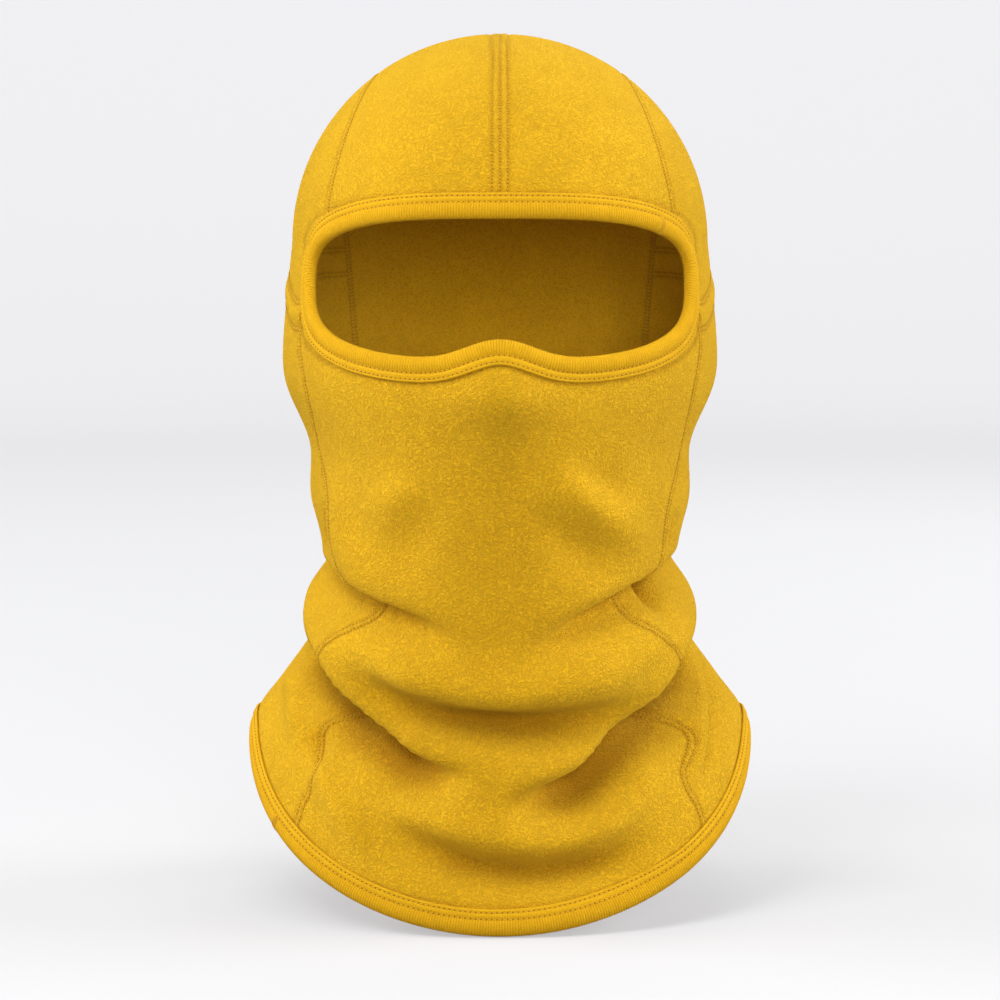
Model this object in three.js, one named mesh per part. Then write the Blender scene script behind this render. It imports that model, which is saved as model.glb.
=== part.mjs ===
import * as THREE from "three";

// A balaclava of brushed knit: ten sewn panels, two ribbed bindings and the seams between them.
// Millimetres. +Z is up, the face looks along -Y, and the origin is where the top of the wearer's
// head meets the inside of the crown.

// Widths across the outside of the cloth
const TEMPLE_WIDTH = 171;
const EAR_WIDTH = 178.5;
const CHEEK_WIDTH = 157;
const JAW_WIDTH = 155;
const NECK_WIDTH = 142;
const ROLL_WIDTH = 159.5;
const NOTCH_WIDTH = 158;
const SHOULDER_WIDTH = 182;
const HEM_WIDTH = 204.5;

// Heights at the side of the object, down from the crown
const TEMPLE_Z = -83;
const EAR_Z = -124;
const LOBE_Z = -140;
const CHEEK_Z = -164;
const JAW_Z = -186;
const NECK_Z = -204;
const ROLL_Z = -232;
const NOTCH_Z = -240;
const SHOULDER_Z = -260;
const HEM_Z = -282;

// Front and back of the inside of the cloth on the centre line
const FOREHEAD_Y = -97;
const NOSE_Y = -106;
const CHIN_Y = -99;
const BIB_Y = -95;
const HEM_FRONT_Y = -100;
const SKULL_BACK_Y = 98;
const NAPE_Y = 70;
const HEM_BACK_Y = 96;

// The side line, forward and back, and how far the cloth drops from it to the centre line
const TEMPLE_MIDDLE_Y = 6;
const JAW_MIDDLE_Y = -4;
const NECK_MIDDLE_Y = -8;
const HEM_MIDDLE_Y = -2;
const JAW_FRONT_DROP = 2;
const NECK_FRONT_DROP = 14;
const NOTCH_FRONT_DROP = 46;
const HEM_FRONT_DROP = 71;
const HEM_BACK_DROP = 34;

// Eye opening
const EYE_WIDTH = 148;
const EYE_HEIGHT = 55.5;
const EYE_Z = -99;
const EYE_CORNER = 3.2;
const NOSE_RISE = 6.8;
const NOSE_SPREAD = 17;
const EYE_CHEEK_DEPTH = 45;

// Cloth, bindings and seams
const FABRIC = 1.8;
const GAP = 0.3;
const BINDING_LIP = 5.6;
const TWIN_ROWS = 3.9;
const BINDING_INSIDE = 0.9;
const BINDING_OUTSIDE = 2.8;
const SEAM_OUTSIDE = 2.3;
const CENTER_SEAM = 7.4;
const CROWN_SEAM = 3.2;
const EAR_SEAM = 2.6;
const JOIN_BAR = 2.4;
const EYE_JOIN_INSET = 12;
const HEM_JOIN_INSET = 14;
const CROWN_BAND = 100;
const CROWN_BAND_FRONT = 140;
const CROWN_BAND_BACK = 132;
const CROSS_SEAM_Z = -50;
const EAR_BAND = 10.4;
const EAR_SEAM_FRONT_Z = -106.5;
const EAR_SEAM_SIDE_Z = -96;
const EAR_SEAM_BACK_Z = -89;

// Mesh: rings of points down the cloth
const CROWN_ARC = 128;
const COLUMNS = 40;
const CROWN_STEP = 14;
const HEAD_STEP = 13;
const NECK_STEP = 11;
const BEHIND_FADE = 20;
const SECTION_POWER = 2.2;
const CORNER_ROUND = 0.14;
const SNAP = 1.5;
const HELD_SNAP = 0.7;
const NUDGE = 0.01;

const CLOTH_COLOR = 0xd9a62a;
const BINDING_COLOR = 0xd6a128;
const THREAD_COLOR = 0xd2a02e;

// A smooth curve through [at, value] pairs, given in order of at.
function curve(pairs) {
  const slope = pairs.map((pair, i) => {
    const before = pairs[Math.max(i - 1, 0)];
    const after = pairs[Math.min(i + 1, pairs.length - 1)];
    return (after[1] - before[1]) / (after[0] - before[0]);
  });
  return (at) => {
    let i = 0;
    while (i < pairs.length - 2 && at > pairs[i + 1][0]) i += 1;
    const span = pairs[i + 1][0] - pairs[i][0];
    const t = THREE.MathUtils.clamp((at - pairs[i][0]) / span, 0, 1);
    const fall = (1 + 2 * t) * (1 - t) * (1 - t);
    const lead = t * (1 - t) * (1 - t) * span;
    const tail = t * t * (t - 1) * span;
    return fall * pairs[i][1] + (1 - fall) * pairs[i + 1][1] + lead * slope[i] + tail * slope[i + 1];
  };
}

// The same, for pairs given by height from the top down.
function downCurve(pairs) {
  return curve([...pairs].reverse());
}

const halfWidth = downCurve([
  [TEMPLE_Z, TEMPLE_WIDTH / 2 - FABRIC],
  [EAR_Z, EAR_WIDTH / 2 - FABRIC],
  [LOBE_Z, EAR_WIDTH / 2 - FABRIC - 1],
  [CHEEK_Z, CHEEK_WIDTH / 2 - FABRIC],
  [JAW_Z, JAW_WIDTH / 2 - FABRIC],
  [NECK_Z, NECK_WIDTH / 2 - FABRIC],
  [ROLL_Z, ROLL_WIDTH / 2 - FABRIC],
  [NOTCH_Z, NOTCH_WIDTH / 2 - FABRIC],
  [SHOULDER_Z, SHOULDER_WIDTH / 2 - FABRIC],
  [HEM_Z + 8, HEM_WIDTH / 2 - FABRIC - 1],
  [HEM_Z, HEM_WIDTH / 2 - FABRIC],
]);
const frontY = downCurve([
  [TEMPLE_Z, FOREHEAD_Y],
  [LOBE_Z, NOSE_Y],
  [JAW_Z, CHIN_Y - 3],
  [NECK_Z, CHIN_Y],
  [NOTCH_Z, BIB_Y],
  [HEM_Z, HEM_FRONT_Y],
]);
const backY = downCurve([
  [TEMPLE_Z, SKULL_BACK_Y],
  [EAR_Z, SKULL_BACK_Y - 1],
  [CHEEK_Z, NAPE_Y + 12],
  [NECK_Z, NAPE_Y],
  [NOTCH_Z, NAPE_Y + 7],
  [HEM_Z, HEM_BACK_Y],
]);
const middleY = downCurve([
  [TEMPLE_Z, TEMPLE_MIDDLE_Y],
  [JAW_Z, JAW_MIDDLE_Y],
  [NECK_Z, NECK_MIDDLE_Y],
  [HEM_Z, HEM_MIDDLE_Y],
]);
const frontDrop = downCurve([
  [TEMPLE_Z, 0],
  [JAW_Z, JAW_FRONT_DROP],
  [NECK_Z, NECK_FRONT_DROP],
  [NOTCH_Z, NOTCH_FRONT_DROP],
  [HEM_Z, HEM_FRONT_DROP],
]);
const backDrop = downCurve([
  [TEMPLE_Z, 0],
  [NECK_Z, 0],
  [HEM_Z, HEM_BACK_DROP],
]);

// Half of the centre strip's width: the crown seams, and below them the face and back seams.
const faceHalf = downCurve([
  [TEMPLE_Z, CROWN_BAND_FRONT / 2],
  [EYE_Z + 13, EYE_WIDTH / 2 - 3],
  [EYE_Z, EYE_WIDTH / 2 + 1],
  [EYE_Z - 21, EYE_WIDTH / 2 + 6],
  [LOBE_Z - 5, EYE_WIDTH / 2 + 2],
  [CHEEK_Z - 5, EYE_WIDTH / 2 - 2.5],
  [JAW_Z, EYE_WIDTH / 2 - 8],
  [NECK_Z - 8, EYE_WIDTH / 2 - 15],
  [ROLL_Z - 2, EYE_WIDTH / 2 - 17],
  [SHOULDER_Z - 6, EYE_WIDTH / 2 - 11],
  [HEM_Z - 18, EYE_WIDTH / 2 + 1],
  [HEM_Z - 40, EYE_WIDTH / 2 + 8],
]);
const backHalf = downCurve([
  [TEMPLE_Z, CROWN_BAND_BACK / 2],
  [CHEEK_Z, CROWN_BAND_BACK / 2 - 8],
  [NECK_Z, CROWN_BAND_BACK / 2 - 20],
  [HEM_Z - HEM_BACK_DROP, CROWN_BAND_BACK / 2 - 6],
]);
const earSeamZ = curve([
  [-40, EAR_SEAM_FRONT_Z],
  [0, EAR_SEAM_SIDE_Z],
  [50, EAR_SEAM_BACK_Z],
  [90, EAR_SEAM_BACK_Z],
]);

// The folds: each lies along a line that drops from the sides to the centre, with its height
// above the smooth cloth (minus for a hollow), its spread above and below, and where it fades.
const FOLDS = [
  { side: -208, front: -232, v: 1, rise: 3, up: 14, down: 10, fade: 0.6 },
  { side: -238, front: -264, v: 1.6, rise: -5.5, up: 12, down: 11, fade: 0 },
  { side: -226, front: -284, v: 2.4, rise: 5, up: 13, down: 11, fade: 0 },
  { side: -248, front: -303, v: 2.4, rise: -3.5, up: 10, down: 11, fade: 0.4 },
  { side: -282, front: -326, v: 1.2, rise: -4, up: 11, down: 11, fade: 0 },
];
const NOSE = { z: -138, rise: 7, up: 26, down: 12, wide: 17 };

// A level section through the cloth, a little squarer than an ellipse.
function section(u, widthHalf, front, back, middle) {
  const sum = Math.abs(Math.sin(u)) ** SECTION_POWER + Math.abs(Math.cos(u)) ** SECTION_POWER;
  const grow = sum ** (-1 / SECTION_POWER);
  const reach = Math.cos(u) > 0 ? middle - front : back - middle;
  return [widthHalf * Math.sin(u) * grow, middle - reach * Math.cos(u) * grow];
}

// A value where it is above nought, and nought below, with the corner rounded.
function softPositive(value) {
  return (value + Math.hypot(value, CORNER_ROUND)) / 2;
}

// The smooth cloth: u is the turn about the head from the face, s the length down the side.
function smoothCloth(u, s) {
  const front = softPositive(Math.cos(u));
  const back = softPositive(-Math.cos(u)) ** 1.5;
  if (s < CROWN_ARC) {
    const lean = ((s / CROWN_ARC) * Math.PI) / 2;
    const open = Math.sin(lean);
    const widthHalf = halfWidth(TEMPLE_Z) * open;
    const middle = middleY(TEMPLE_Z) * open ** 2;
    const [x, y] = section(u, widthHalf, FOREHEAD_Y * open, SKULL_BACK_Y * open, middle);
    return new THREE.Vector3(x, y, TEMPLE_Z * (1 - Math.cos(lean)));
  }
  const level = TEMPLE_Z - (s - CROWN_ARC);
  const [x, y] = section(u, halfWidth(level), frontY(level), backY(level), middleY(level));
  return new THREE.Vector3(x, y, level - frontDrop(level) * front - backDrop(level) * back);
}

const CLOTH_LENGTH = CROWN_ARC + TEMPLE_Z - HEM_Z;

// The length down the cloth from a point to the hem.
function lengthToHem(u, s) {
  const steps = 8;
  const step = (CLOTH_LENGTH - s) / steps;
  const places = Array.from({ length: steps + 1 }, (_, i) => smoothCloth(u, s + step * i));
  return places.slice(1).reduce((total, place, i) => total + place.distanceTo(places[i]), 0);
}

// A rounded bump along a line, with its own spread on each side.
function bell(offset, up, down) {
  return Math.exp(-((offset / (offset > 0 ? up : down)) ** 2));
}

function foldHeight(u, place) {
  const facing = Math.max(Math.cos(u), 0);
  const around = THREE.MathUtils.smoothstep(Math.cos(u), -0.5, 0.5);
  let height = 0;
  for (const fold of FOLDS) {
    const line = fold.side + (fold.front - fold.side) * facing ** fold.v;
    const fading = 1 - fold.fade * facing ** 4;
    height += fold.rise * fading * around * bell(place.z - line, fold.up, fold.down);
  }
  if (facing === 0) return height;
  const nose = bell(place.z - NOSE.z, NOSE.up, NOSE.down) * bell(place.x, NOSE.wide, NOSE.wide);
  return height + NOSE.rise * nose;
}

function normalOf(cloth, u, s) {
  const at = Math.max(s, 1);
  const across = cloth(u + NUDGE, at).sub(cloth(u - NUDGE, at));
  const along = cloth(u, at + NUDGE * 10).sub(cloth(u, at - NUDGE * 10));
  return along.cross(across).normalize();
}

function foldedCloth(u, s) {
  const place = smoothCloth(u, s);
  return place.addScaledVector(normalOf(smoothCloth, u, s), foldHeight(u, place));
}

// A signed length on the cloth from the line where a measure is nought.
function distanceFrom(measure) {
  return (point) => {
    const u = point.u;
    const s = Math.max(point.s, 1);
    const value = measure(smoothCloth(u, point.s), point);
    const at = smoothCloth(u, s);
    const turned = smoothCloth(u + NUDGE, s);
    const lower = smoothCloth(u, s + NUDGE);
    const base = measure(at, { u, s });
    const du = (measure(turned, { u: u + NUDGE, s }) - base) / NUDGE;
    const ds = (measure(lower, { u, s: s + NUDGE }) - base) / NUDGE;
    const across = turned.sub(at).divideScalar(NUDGE);
    const along = lower.sub(at).divideScalar(NUDGE);
    const uu = across.dot(across);
    const us = across.dot(along);
    const ss = along.dot(along);
    const steep = Math.sqrt((ss * du * du - 2 * us * du * ds + uu * ds * ds) / (uu * ss - us * us));
    return value / Math.max(steep, 1e-6);
  };
}

const fromHem = distanceFrom((place, point) => lengthToHem(point.u, point.s));
const fromEye = distanceFrom((place) => {
  const rise = NOSE_RISE * Math.exp(-((place.x / NOSE_SPREAD) ** 2));
  const reach = EYE_HEIGHT / 2 - (place.z < EYE_Z ? rise : 0);
  const past = Math.max(place.y + EYE_CHEEK_DEPTH, 0) ** 2 / EYE_CHEEK_DEPTH;
  const across = ((Math.abs(place.x) + past) / (EYE_WIDTH / 2)) ** EYE_CORNER;
  return (across + Math.abs((place.z - EYE_Z) / reach) ** EYE_CORNER) ** (1 / EYE_CORNER) - 1;
});
const fromSideSeam = distanceFrom((place) => {
  const behind = THREE.MathUtils.smoothstep(place.y, -BEHIND_FADE, BEHIND_FADE);
  const end = THREE.MathUtils.lerp(faceHalf(place.z), backHalf(place.z), behind);
  const above = Math.max(place.z - TEMPLE_Z, 0) + BEHIND_FADE / 2;
  const upright = (Math.abs(place.y) / Math.hypot(place.y, above)) ** 1.5;
  return Math.abs(place.x) - THREE.MathUtils.lerp(CROWN_BAND / 2, end, upright);
});
const fromCrossSeam = distanceFrom((place) => place.z - CROSS_SEAM_Z - 2 * Math.min(place.y, 0));
const fromCenter = distanceFrom((place) => place.x);
const fromUpperEarSeam = distanceFrom((place) => place.z - earSeamZ(place.y));
const fromLowerEarSeam = distanceFrom((place) => place.z - earSeamZ(place.y) + EAR_BAND);
const fromEyeJoin = distanceFrom((place) => place.x - EYE_WIDTH / 2 + EYE_JOIN_INSET);
const fromHemJoin = distanceFrom((place) => place.x + HEM_WIDTH / 2 - HEM_JOIN_INSET);

// The plan: points on the cloth and triangles between them, each with the piece that it is in.
function ringsOfPoints() {
  const lengths = [];
  for (let s = CROWN_STEP; s < CROWN_ARC - CROWN_STEP / 2; s += CROWN_STEP) {
    lengths.push(s);
  }
  const jawLength = CROWN_ARC + TEMPLE_Z - JAW_Z;
  const headSteps = Math.round((jawLength - CROWN_ARC) / HEAD_STEP);
  const neckSteps = Math.round((CLOTH_LENGTH - jawLength) / NECK_STEP);
  for (let i = 0; i < headSteps; i += 1) {
    lengths.push(CROWN_ARC + ((jawLength - CROWN_ARC) * i) / headSteps);
  }
  for (let i = 0; i <= neckSteps; i += 1) {
    lengths.push(jawLength + ((CLOTH_LENGTH - jawLength) * i) / neckSteps);
  }
  const points = [{ u: 0, s: 0 }];
  const rings = [[0]];
  lengths.forEach((s, k) => {
    const count = Math.min(6 * (k + 1), COLUMNS);
    const ring = [];
    for (let i = 0; i < count; i += 1) {
      ring.push(points.length);
      points.push({ u: (2 * Math.PI * i) / count, s });
    }
    rings.push(ring);
  });
  return { points, rings };
}

// Triangles between two rings, walking round both and always closing the shorter way.
function joinRings(inner, outer, triangles) {
  if (inner.length === 1) {
    outer.forEach((at, i) => triangles.push([inner[0], at, outer[(i + 1) % outer.length]]));
    return;
  }
  let i = 0;
  let j = 0;
  while (i < inner.length || j < outer.length) {
    const a = inner[i % inner.length];
    const b = outer[j % outer.length];
    if ((i + 0.5) / inner.length < (j + 0.5) / outer.length) {
      i += 1;
      triangles.push([a, b, inner[i % inner.length]]);
    } else {
      j += 1;
      triangles.push([a, b, outer[j % outer.length]]);
    }
  }
}

function wholePlan() {
  const { points, rings } = ringsOfPoints();
  const corners = [];
  for (let k = 1; k < rings.length; k += 1) {
    joinRings(rings[k - 1], rings[k], corners);
  }
  const triangles = corners.map((at) => ({ at, piece: "cloth" }));
  return { points, triangles, held: new Set() };
}

// The point part way from p to q, by the shorter turn. The top point has no turn of its own.
function between(p, q, t) {
  const full = 2 * Math.PI;
  const turn = p.s === 0 || q.s === 0 ? 0 : q.u - p.u - full * Math.round((q.u - p.u) / full);
  const from = p.s === 0 ? q.u : p.u;
  return { u: from + turn * t, s: p.s + (q.s - p.s) * t };
}

// Where the line crosses the edge from p to q, whose ends lie on its two sides.
function crossing(p, q, distance) {
  const start = Math.sign(distance(p));
  let low = 0;
  let high = 1;
  for (let i = 0; i < 24; i += 1) {
    const middle = (low + high) / 2;
    if (Math.sign(distance(between(p, q, middle))) === start) low = middle;
    else high = middle;
  }
  return between(p, q, (low + high) / 2);
}

function edgesOf(triangle) {
  const [a, b, c] = triangle.at;
  return [
    [a, b],
    [b, c],
    [c, a],
  ];
}

// Moves the points that lie near a line on to it, so that no sliver is cut.
function snapToLine(plan, chosen, distance, value) {
  const nearest = new Map();
  for (const triangle of chosen) {
    for (const [a, b] of edgesOf(triangle)) {
      if (value.get(a) * value.get(b) >= 0) continue;
      for (const [near, far] of [[a, b], [b, a]]) {
        const off = Math.abs(value.get(near));
        const limit = plan.held.has(near) ? HELD_SNAP : SNAP;
        if (off < limit && !(nearest.get(near)?.off < off)) nearest.set(near, { off, far });
      }
    }
  }
  for (const [near, { far }] of nearest) {
    if (!plan.held.has(near)) {
      plan.points[near] = crossing(plan.points[near], plan.points[far], distance);
    }
  }
  for (const near of nearest.keys()) {
    value.set(near, 0);
    plan.held.add(near);
  }
}

function edgeKey(a, b) {
  return a < b ? a + "_" + b : b + "_" + a;
}

// A triangle of a neighbouring piece takes in the points that a cut put on its edges.
function takeInPoints(triangle, made) {
  const [a, b, c] = triangle.at;
  for (const [from, to, across] of [[a, b, c], [b, c, a], [c, a, b]]) {
    const point = made.get(edgeKey(from, to));
    if (point === undefined) continue;
    const halves = [[from, point, across], [point, to, across]];
    return halves.flatMap((at) => takeInPoints({ at, piece: triangle.piece }, made));
  }
  return [triangle];
}

// Cuts one piece of the plan along the line where distance is nought.
function cutPiece(plan, piece, distance, belowName, aboveName) {
  const chosen = plan.triangles.filter((triangle) => triangle.piece === piece);
  const value = new Map();
  for (const triangle of chosen) {
    for (const i of triangle.at) {
      if (!value.has(i)) value.set(i, distance(plan.points[i]));
    }
  }
  snapToLine(plan, chosen, distance, value);
  const made = new Map();
  const cross = (a, b) => {
    const key = edgeKey(a, b);
    if (!made.has(key)) {
      made.set(key, plan.points.length);
      plan.held.add(plan.points.length);
      plan.points.push(crossing(plan.points[Math.min(a, b)], plan.points[Math.max(a, b)], distance));
    }
    return made.get(key);
  };
  const rest = plan.triangles.filter((triangle) => triangle.piece !== piece);
  const keep = (at, sign) => rest.push({ at, piece: sign < 0 ? belowName : aboveName });
  for (const { at } of chosen) {
    const signs = at.map((i) => Math.sign(value.get(i)));
    const total = signs[0] + signs[1] + signs[2];
    if (!signs.includes(1) || !signs.includes(-1)) {
      keep(at, total);
      continue;
    }
    const lone = signs.includes(0) ? signs.indexOf(0) : signs.indexOf(-Math.sign(total));
    const [a, b, c] = [at[lone], at[(lone + 1) % 3], at[(lone + 2) % 3]];
    const [signB, signC] = [signs[(lone + 1) % 3], signs[(lone + 2) % 3]];
    if (signs.includes(0)) {
      const m = cross(b, c);
      keep([a, b, m], signB);
      keep([a, m, c], signC);
    } else {
      const m = cross(a, b);
      const n = cross(a, c);
      keep([a, m, n], -signB);
      keep([m, b, c], signB);
      keep([m, c, n], signB);
    }
  }
  plan.triangles = rest.flatMap((triangle) => takeInPoints(triangle, made));
}

// Cuts a strip of a given width along a line: the two sides and the strip get their names.
function cutStrip(plan, piece, distance, width, belowName, stripName, aboveName) {
  cutPiece(plan, piece, (point) => distance(point) - width / 2, "uncut", aboveName);
  cutPiece(plan, "uncut", (point) => distance(point) + width / 2, belowName, stripName);
}

function centroid(plan, triangle) {
  const places = triangle.at.map((i) => smoothCloth(plan.points[i].u, plan.points[i].s));
  return places[0].add(places[1]).add(places[2]).divideScalar(3);
}

function renamePiece(plan, piece, nameAt) {
  for (const triangle of plan.triangles) {
    if (triangle.piece === piece) triangle.piece = nameAt(centroid(plan, triangle));
  }
}

const sideName = (place) => (place.x < 0 ? "left" : "right");
const inFace = (place) => place.y < 0 && place.z < EYE_Z;

function cutBindings(plan) {
  const bindingWidth = BINDING_LIP + TWIN_ROWS;
  cutPiece(plan, "cloth", (point) => fromHem(point) - bindingWidth, "hem_edge", "cloth");
  cutPiece(plan, "hem_edge", (point) => fromHem(point) - BINDING_LIP, "hem_lip", "hem_twin_stitch");
  const nearHemJoin = (place) => place.y < 0 && place.x < 0;
  renamePiece(plan, "hem_lip", (place) => (nearHemJoin(place) ? "hem_corner" : "hem_binding"));
  cutStrip(plan, "hem_corner", fromHemJoin, JOIN_BAR, "hem_binding", "hem_binding_join", "hem_binding");
  cutPiece(plan, "cloth", (point) => fromEye(point) - bindingWidth, "eye_area", "cloth");
  cutPiece(plan, "eye_area", (point) => fromEye(point) - BINDING_LIP, "eye_middle", "eye_twin_stitch");
  cutPiece(plan, "eye_middle", fromEye, "hole", "eye_lip");
  const nearEyeJoin = (place) => place.z > EYE_Z && place.x > 0;
  renamePiece(plan, "eye_lip", (place) => (nearEyeJoin(place) ? "eye_corner" : "eye_binding"));
  cutStrip(plan, "eye_corner", fromEyeJoin, JOIN_BAR, "eye_binding", "eye_binding_join", "eye_binding");
  plan.triangles = plan.triangles.filter((triangle) => triangle.piece !== "hole");
}

function cutSideSeams(plan) {
  cutPiece(plan, "cloth", (point) => fromSideSeam(point) - CROWN_SEAM / 2, "uncut", "side");
  cutPiece(plan, "uncut", (point) => fromSideSeam(point) + CROWN_SEAM / 2, "middle", "long_seam");
  renamePiece(plan, "long_seam", (place) => (inFace(place) ? "face_seam_" : "top_seam_") + sideName(place));
  for (const side of ["left", "right"]) {
    cutPiece(plan, "top_seam_" + side, fromCrossSeam, "back_seam_" + side, "crown_seam_" + side);
  }
}

function cutMiddle(plan) {
  renamePiece(plan, "middle", (place) => (inFace(place) ? "face_panel" : "crown"));
  cutStrip(plan, "crown", fromCrossSeam, CROWN_SEAM, "back_panel", "crown_cross_seam", "crown_top");
  cutStrip(plan, "crown_top", fromCenter, CENTER_SEAM, "crown_left", "crown_center_seam", "crown_right");
}

function cutSides(plan) {
  renamePiece(plan, "side", (place) => "side_" + sideName(place));
  for (const side of ["left", "right"]) {
    const upper = "ear_seam_upper_" + side;
    const lower = "ear_seam_lower_" + side;
    cutStrip(plan, "side_" + side, fromUpperEarSeam, EAR_SEAM, "ear_part", upper, "temple_" + side);
    cutStrip(plan, "ear_part", fromLowerEarSeam, EAR_SEAM, "side_" + side, lower, "ear_band_" + side);
  }
}

// How far in from its cut edge each point of a piece stands, so that pieces stay clear.
function edgeInsets(triangles, place, normal) {
  const open = new Map();
  for (const triangle of triangles) {
    for (const [a, b] of edgesOf(triangle)) {
      if (!open.delete(b + "_" + a)) open.set(a + "_" + b, [a, b]);
    }
  }
  const inward = new Map();
  for (const [a, b] of open.values()) {
    const along = place.get(b).clone().sub(place.get(a)).normalize();
    for (const i of [a, b]) {
      const aside = normal.get(i).clone().cross(along).normalize();
      inward.set(i, [...(inward.get(i) ?? []), aside]);
    }
  }
  const insets = new Map();
  for (const [i, sides] of inward) {
    const sum = sides.reduce((total, aside) => total.add(aside), new THREE.Vector3());
    const miter = sides.length / Math.max(sum.lengthSq(), 0.5);
    insets.set(i, sum.multiplyScalar((GAP / 2) * miter));
  }
  return { edges: [...open.values()], insets };
}

// A closed shell over a piece's triangles, from inside to outside of the cloth.
function shellGeometry(plan, triangles, inside, outside) {
  const place = new Map();
  const normal = new Map();
  for (const triangle of triangles) {
    for (const i of triangle.at) {
      if (place.has(i)) continue;
      const { u, s } = plan.points[i];
      place.set(i, foldedCloth(u, s));
      normal.set(i, normalOf(foldedCloth, u, s));
    }
  }
  const { edges, insets } = edgeInsets(triangles, place, normal);
  const order = [...place.keys()];
  const index = new Map(order.map((i, k) => [i, k]));
  const points = [];
  for (const height of [outside, -inside]) {
    for (const i of order) {
      const at = place.get(i).clone().add(insets.get(i) ?? new THREE.Vector3());
      points.push(at.addScaledVector(normal.get(i), height));
    }
  }
  const back = order.length;
  const faces = [];
  for (const triangle of triangles) {
    const [a, b, c] = triangle.at.map((i) => index.get(i));
    faces.push(a, b, c, back + a, back + c, back + b);
  }
  for (const [from, to] of edges) {
    const a = index.get(from);
    const b = index.get(to);
    if (from < to) faces.push(b, a, back + b, a, back + a, back + b);
    else faces.push(b, a, back + a, b, back + a, back + b);
  }
  const geometry = new THREE.BufferGeometry().setFromPoints(points);
  geometry.setIndex(faces);
  geometry.computeVertexNormals();
  return geometry;
}

function finishOf(name) {
  if (name.includes("binding") && !name.includes("join")) {
    return { color: BINDING_COLOR, inside: BINDING_INSIDE, outside: BINDING_OUTSIDE };
  }
  if (name.includes("seam") || name.includes("stitch") || name.includes("join")) {
    return { color: THREAD_COLOR, inside: 0, outside: SEAM_OUTSIDE };
  }
  return { color: CLOTH_COLOR, inside: 0, outside: FABRIC };
}

function buildBalaclava() {
  const plan = wholePlan();
  cutBindings(plan);
  cutSideSeams(plan);
  cutMiddle(plan);
  cutSides(plan);
  const group = new THREE.Group();
  for (const name of new Set(plan.triangles.map((triangle) => triangle.piece))) {
    const { color, inside, outside } = finishOf(name);
    const triangles = plan.triangles.filter((triangle) => triangle.piece === name);
    const geometry = shellGeometry(plan, triangles, inside, outside);
    const material = new THREE.MeshStandardMaterial({ color, roughness: 0.9, metalness: 0 });
    const mesh = new THREE.Mesh(geometry, material);
    mesh.name = name;
    group.add(mesh);
  }
  return group;
}

export default buildBalaclava();
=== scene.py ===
import functools
import math

import bpy
import numpy as np
from bpy.props import FloatProperty, FloatVectorProperty, PointerProperty
from bpy.types import Operator, Panel, PropertyGroup
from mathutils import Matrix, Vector


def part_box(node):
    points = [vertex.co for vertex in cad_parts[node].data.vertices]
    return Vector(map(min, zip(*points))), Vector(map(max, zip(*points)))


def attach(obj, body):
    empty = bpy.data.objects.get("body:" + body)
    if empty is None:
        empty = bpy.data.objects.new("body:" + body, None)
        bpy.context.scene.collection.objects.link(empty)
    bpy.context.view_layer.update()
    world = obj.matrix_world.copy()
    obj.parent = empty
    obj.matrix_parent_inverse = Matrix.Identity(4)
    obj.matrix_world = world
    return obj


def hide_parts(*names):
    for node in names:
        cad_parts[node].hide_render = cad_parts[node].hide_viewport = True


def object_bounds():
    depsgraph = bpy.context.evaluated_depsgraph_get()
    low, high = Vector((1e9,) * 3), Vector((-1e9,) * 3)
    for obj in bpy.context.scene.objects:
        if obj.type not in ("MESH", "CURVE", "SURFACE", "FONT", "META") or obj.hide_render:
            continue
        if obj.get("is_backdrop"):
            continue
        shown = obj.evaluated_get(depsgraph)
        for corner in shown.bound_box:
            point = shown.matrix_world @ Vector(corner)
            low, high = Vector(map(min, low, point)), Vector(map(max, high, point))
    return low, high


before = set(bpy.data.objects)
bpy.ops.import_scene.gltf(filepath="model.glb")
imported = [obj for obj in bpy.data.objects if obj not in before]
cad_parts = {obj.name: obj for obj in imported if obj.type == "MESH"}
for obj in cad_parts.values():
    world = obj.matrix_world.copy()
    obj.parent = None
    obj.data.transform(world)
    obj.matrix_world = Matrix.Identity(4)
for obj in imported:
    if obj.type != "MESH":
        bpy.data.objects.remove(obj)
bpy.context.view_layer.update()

bl_info = {
    "name": "Balaclava",
    "version": (1, 0, 0),
    "blender": (4, 5, 0),
    "location": "3D View > Sidebar > Balaclava",
    "description": "Makes a sewn fleece balaclava, panel by panel, with its seams and bindings",
    "category": "Object",
}

MM = 0.001
SIDES = ("left", "right")

# The shape of the head and neck under the cloth, in millimetres. The origin is at the crown.
TEMPLE_Z = -83.0
EAR_Z = -124.0
LOBE_Z = -140.0
CHEEK_Z = -164.0
JAW_Z = -186.0
NECK_Z = -204.0
ROLL_Z = -232.0
NOTCH_Z = -240.0
SHOULDER_Z = -260.0
HEM_Z = -282.0
FOREHEAD_Y = -97.0
NOSE_Y = -106.0
CHIN_Y = -99.0
SKULL_BACK_Y = 98.0
NAPE_Y = 70.0
HEM_FRONT_DROP = 71.0
HEM_BACK_DROP = 34.0
CROWN_ARC = 128.0
CLOTH_LENGTH = CROWN_ARC + TEMPLE_Z - HEM_Z
SECTION_POWER = 2.2
CORNER_ROUND = 0.14

# Eye opening
EYE_WIDTH = 148.0
EYE_HEIGHT = 55.5
EYE_Z = -99.0
EYE_CORNER = 3.2
NOSE_RISE = 6.8
NOSE_SPREAD = 17.0
EYE_CHEEK_DEPTH = 45.0

# The ridge of cloth over the nose: where it is highest, and how far it spreads
NOSE_RIDGE = 9.0
NOSE_RIDGE_Z = -139.0
NOSE_RIDGE_ACROSS = 18.0
NOSE_RIDGE_UP = 26.0
NOSE_RIDGE_DOWN = 13.0

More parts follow.
